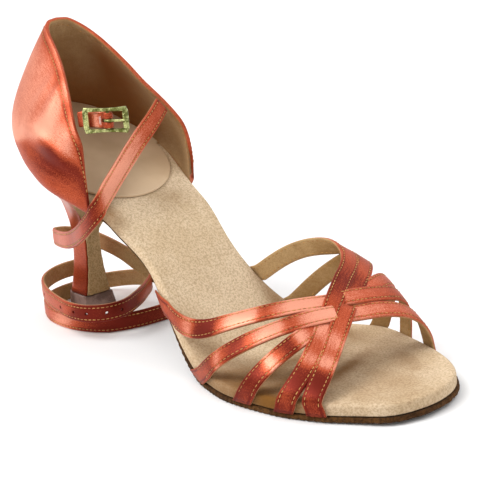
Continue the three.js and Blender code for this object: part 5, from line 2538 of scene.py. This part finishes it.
                    # Painted light and shade along the tab.
                    tones.append(self.tab_painted_light(x))
        count = len(zs)

        def at(i: int, k: int, inner: int) -> int:
            """Index of a point."""
            return (i * count + k) * 2 + inner

        def solid(i: int, k: int) -> bool:
            """Whether a cell of the strip is cloth.

            Args:
                i: Step along the strip.
                k: Step across it.

            Returns:
                True where there is cloth.
            """
            x = (line[i][0] + line[i + 1][0]) / 2
            z = (zs[k] + zs[k + 1]) / 2
            return not (x > -self.slit_reach and abs(z) < slit)

        cells = {(i, k) for i in range(len(line) - 1) for k in range(count - 1) if solid(i, k)}
        for i, k in sorted(cells):
            faces.append((at(i, k, 0), at(i + 1, k, 0), at(i + 1, k + 1, 0), at(i, k + 1, 0)))
            slots.append(0)
            faces.append((at(i, k, 1), at(i, k + 1, 1), at(i + 1, k + 1, 1), at(i + 1, k, 1)))
            slots.append(0)
            for cell, p, q in (
                ((i - 1, k), (i, k), (i, k + 1)), ((i + 1, k), (i + 1, k), (i + 1, k + 1)),
                ((i, k - 1), (i, k), (i + 1, k)), ((i, k + 1), (i, k + 1), (i + 1, k + 1)),
            ):
                if cell not in cells:
                    faces.append((at(*p, 0), at(*q, 0), at(*q, 1), at(*p, 1)))
                    slots.append(1)
        obj = make_mesh("buckle_strip", points, faces, uvs, slots, tones)
        return wear(self.placed(obj, self.tab_turn), SATIN, STRAP_EDGE)

    def tab_stitches(self) -> Piece:
        """Pale thread that closes the fold beside the prong's slit.

        Returns:
            The piece.
        """
        matrix = self.to_row(self.tab_turn)
        out = (self.matrix(self.tab_turn).to_3x3() @ Vector((0, -1, 0))).normalized()
        radius = self.centre_radius + LAST.gap + self.tab_layer / 2
        y = -self.tab_fold * radius - self.tab_layer / 2
        x = -self.slit_reach - 0.4
        points = [matrix @ Vector((x, y, z)) for z in (-1.3, 0, 1.3)]
        more = [matrix @ Vector((x - 0.5, y, z)) for z in (-1.0, 0, 1.0)]
        return PALE_STITCH.along(
            "tab_bartack", [SeamLine(points, [out] * 3), SeamLine(more, [out] * 3)], 0.5 * MM
        )

    def build(self) -> None:
        """Builds and dresses the buckle."""
        attach(self.frame(), Body.BUCKLE, Slot.GOLD, "buckle_frame")
        attach(self.facets(), Body.BUCKLE, Slot.GOLD)
        attach(self.prong(), Body.PRONG, Slot.GOLD, "buckle_prong")
        attach(self.tab(), Body.SHOE, Slot.SATIN, "buckle_tab")
        attach(self.tab_stitches(), Body.SHOE, Slot.SATIN)


PALE_STITCH = Repeats(
    "pale_stitch_row", bead("pale_stitch_shape", 0.9 * MM, 0.3 * MM, 0.26 * MM), PALE_THREAD
)


# Studio.


class Camera:
    """The photograph's camera."""

    focal = 1350.7503
    size = 480
    right = Vector((0.63483065, 0.7684339, -0.08061879))
    up = Vector((-0.16140029, 0.23392548, 0.95876421))
    back = Vector((0.75560572, -0.59564101, 0.27252852))
    place = Vector((0.46096594, -0.28138861, 0.1738686))

    @classmethod
    def pixel(cls, point: Vector) -> tuple[float, float]:
        """Pixel of a point in the photograph's frame.

        Args:
            point: Point in the shared frame, in metres.

        Returns:
            The pixel.
        """
        d = point - cls.place
        depth = -d.dot(cls.back)
        return cls.size / 2 + cls.focal * d.dot(
            cls.right
        ) / depth, cls.size / 2 - cls.focal * d.dot(cls.up) / depth

    @classmethod
    def build(cls) -> None:
        """Adds the camera to the scene."""
        data = bpy.data.cameras.new("photo_camera")
        data.lens = cls.focal / cls.size * 36
        data.sensor_width = 36
        data.sensor_fit = "HORIZONTAL"
        data.clip_start = 0.01
        obj = bpy.data.objects.new("photo_camera", data)
        bpy.context.collection.objects.link(obj)
        axes = (cls.right, cls.up, cls.back, cls.place)
        obj.matrix_world = Matrix([[axis[i] for axis in axes] for i in range(3)] + [[0, 0, 0, 1]])
        bpy.context.scene.camera = obj


@dataclass
class Lamp:
    """A soft light aimed at the shoe: a sun with a wide disc, or a square softbox."""

    name: str
    place: tuple[float, float, float]
    size: float
    power: float
    sun: bool = False

    def build(self) -> None:
        """Adds the light."""
        data = bpy.data.lights.new(self.name, "SUN" if self.sun else "AREA")
        data.energy = self.power
        if self.sun:
            data.angle = self.size
        else:
            data.shape, data.size = "SQUARE", self.size
        obj = bpy.data.objects.new(self.name, data)
        bpy.context.collection.objects.link(obj)
        at, target = Vector(self.place), Vector((0.07, 0, 0.04))
        obj.matrix_world = Matrix.Translation(at) @ (
            target - at
        ).to_track_quat("-Z", "Y").to_matrix().to_4x4()


@dataclass
class Studio:
    """Pale floor, soft lights and a bright surround."""

    floor: Colour = (0.93, 0.93, 0.93)
    surround: float = 0.80
    half_size: float = 30.0
    lamps: tuple = (
        Lamp("key_light", (-0.3, -0.5, 0.9), math.radians(35), 1.65, sun=True),
        Lamp("back_light", (0.3, 0.6, 0.8), math.radians(50), 0.6, sun=True),
        Lamp("softbox", (-0.15, -0.6, 0.55), 0.25, 1.2),
    )

    def build(self) -> None:
        """Builds the floor, the lights and the world."""
        size = self.half_size
        points = [Vector((x, y, 0)) for x, y in ((-size, -size), (size, -size), (size, size), (-size, size))]
        mesh = bpy.data.meshes.new("studio_floor")
        mesh.from_pydata([tuple(p) for p in points], [], [(0, 1, 2, 3)])
        floor = bpy.data.objects.new("studio_floor", mesh)
        bpy.context.collection.objects.link(floor)
        shader = Shader("studio_floor")
        cloud = shader.noise(shader.place(), 3, 2, 0.5)
        tone = shader.mix(cloud, self.floor, tuple(c * 1.02 for c in self.floor))
        mesh.materials.append(shader.dress(Base_Color=tone, Roughness=0.55))
        world = bpy.data.worlds.new("studio")
        world.use_nodes = True
        back = world.node_tree.nodes["Background"]
        back.inputs["Color"].default_value = (1, 1, 1, 1)
        back.inputs["Strength"].default_value = self.surround
        bpy.context.scene.world = world
        bpy.context.scene.view_settings.view_transform = "Standard"
        for lamp in self.lamps:
            lamp.build()


def main() -> None:
    """Builds the sandal and its studio."""
    Camera.build()
    Studio().build()
    for part in (Sole(), Heel(), Quarter(), Vamp(), Ankle(), Buckle()):
        log.info("building %s", type(part).__name__)
        part.build()


if __name__ == "__main__":
    main()
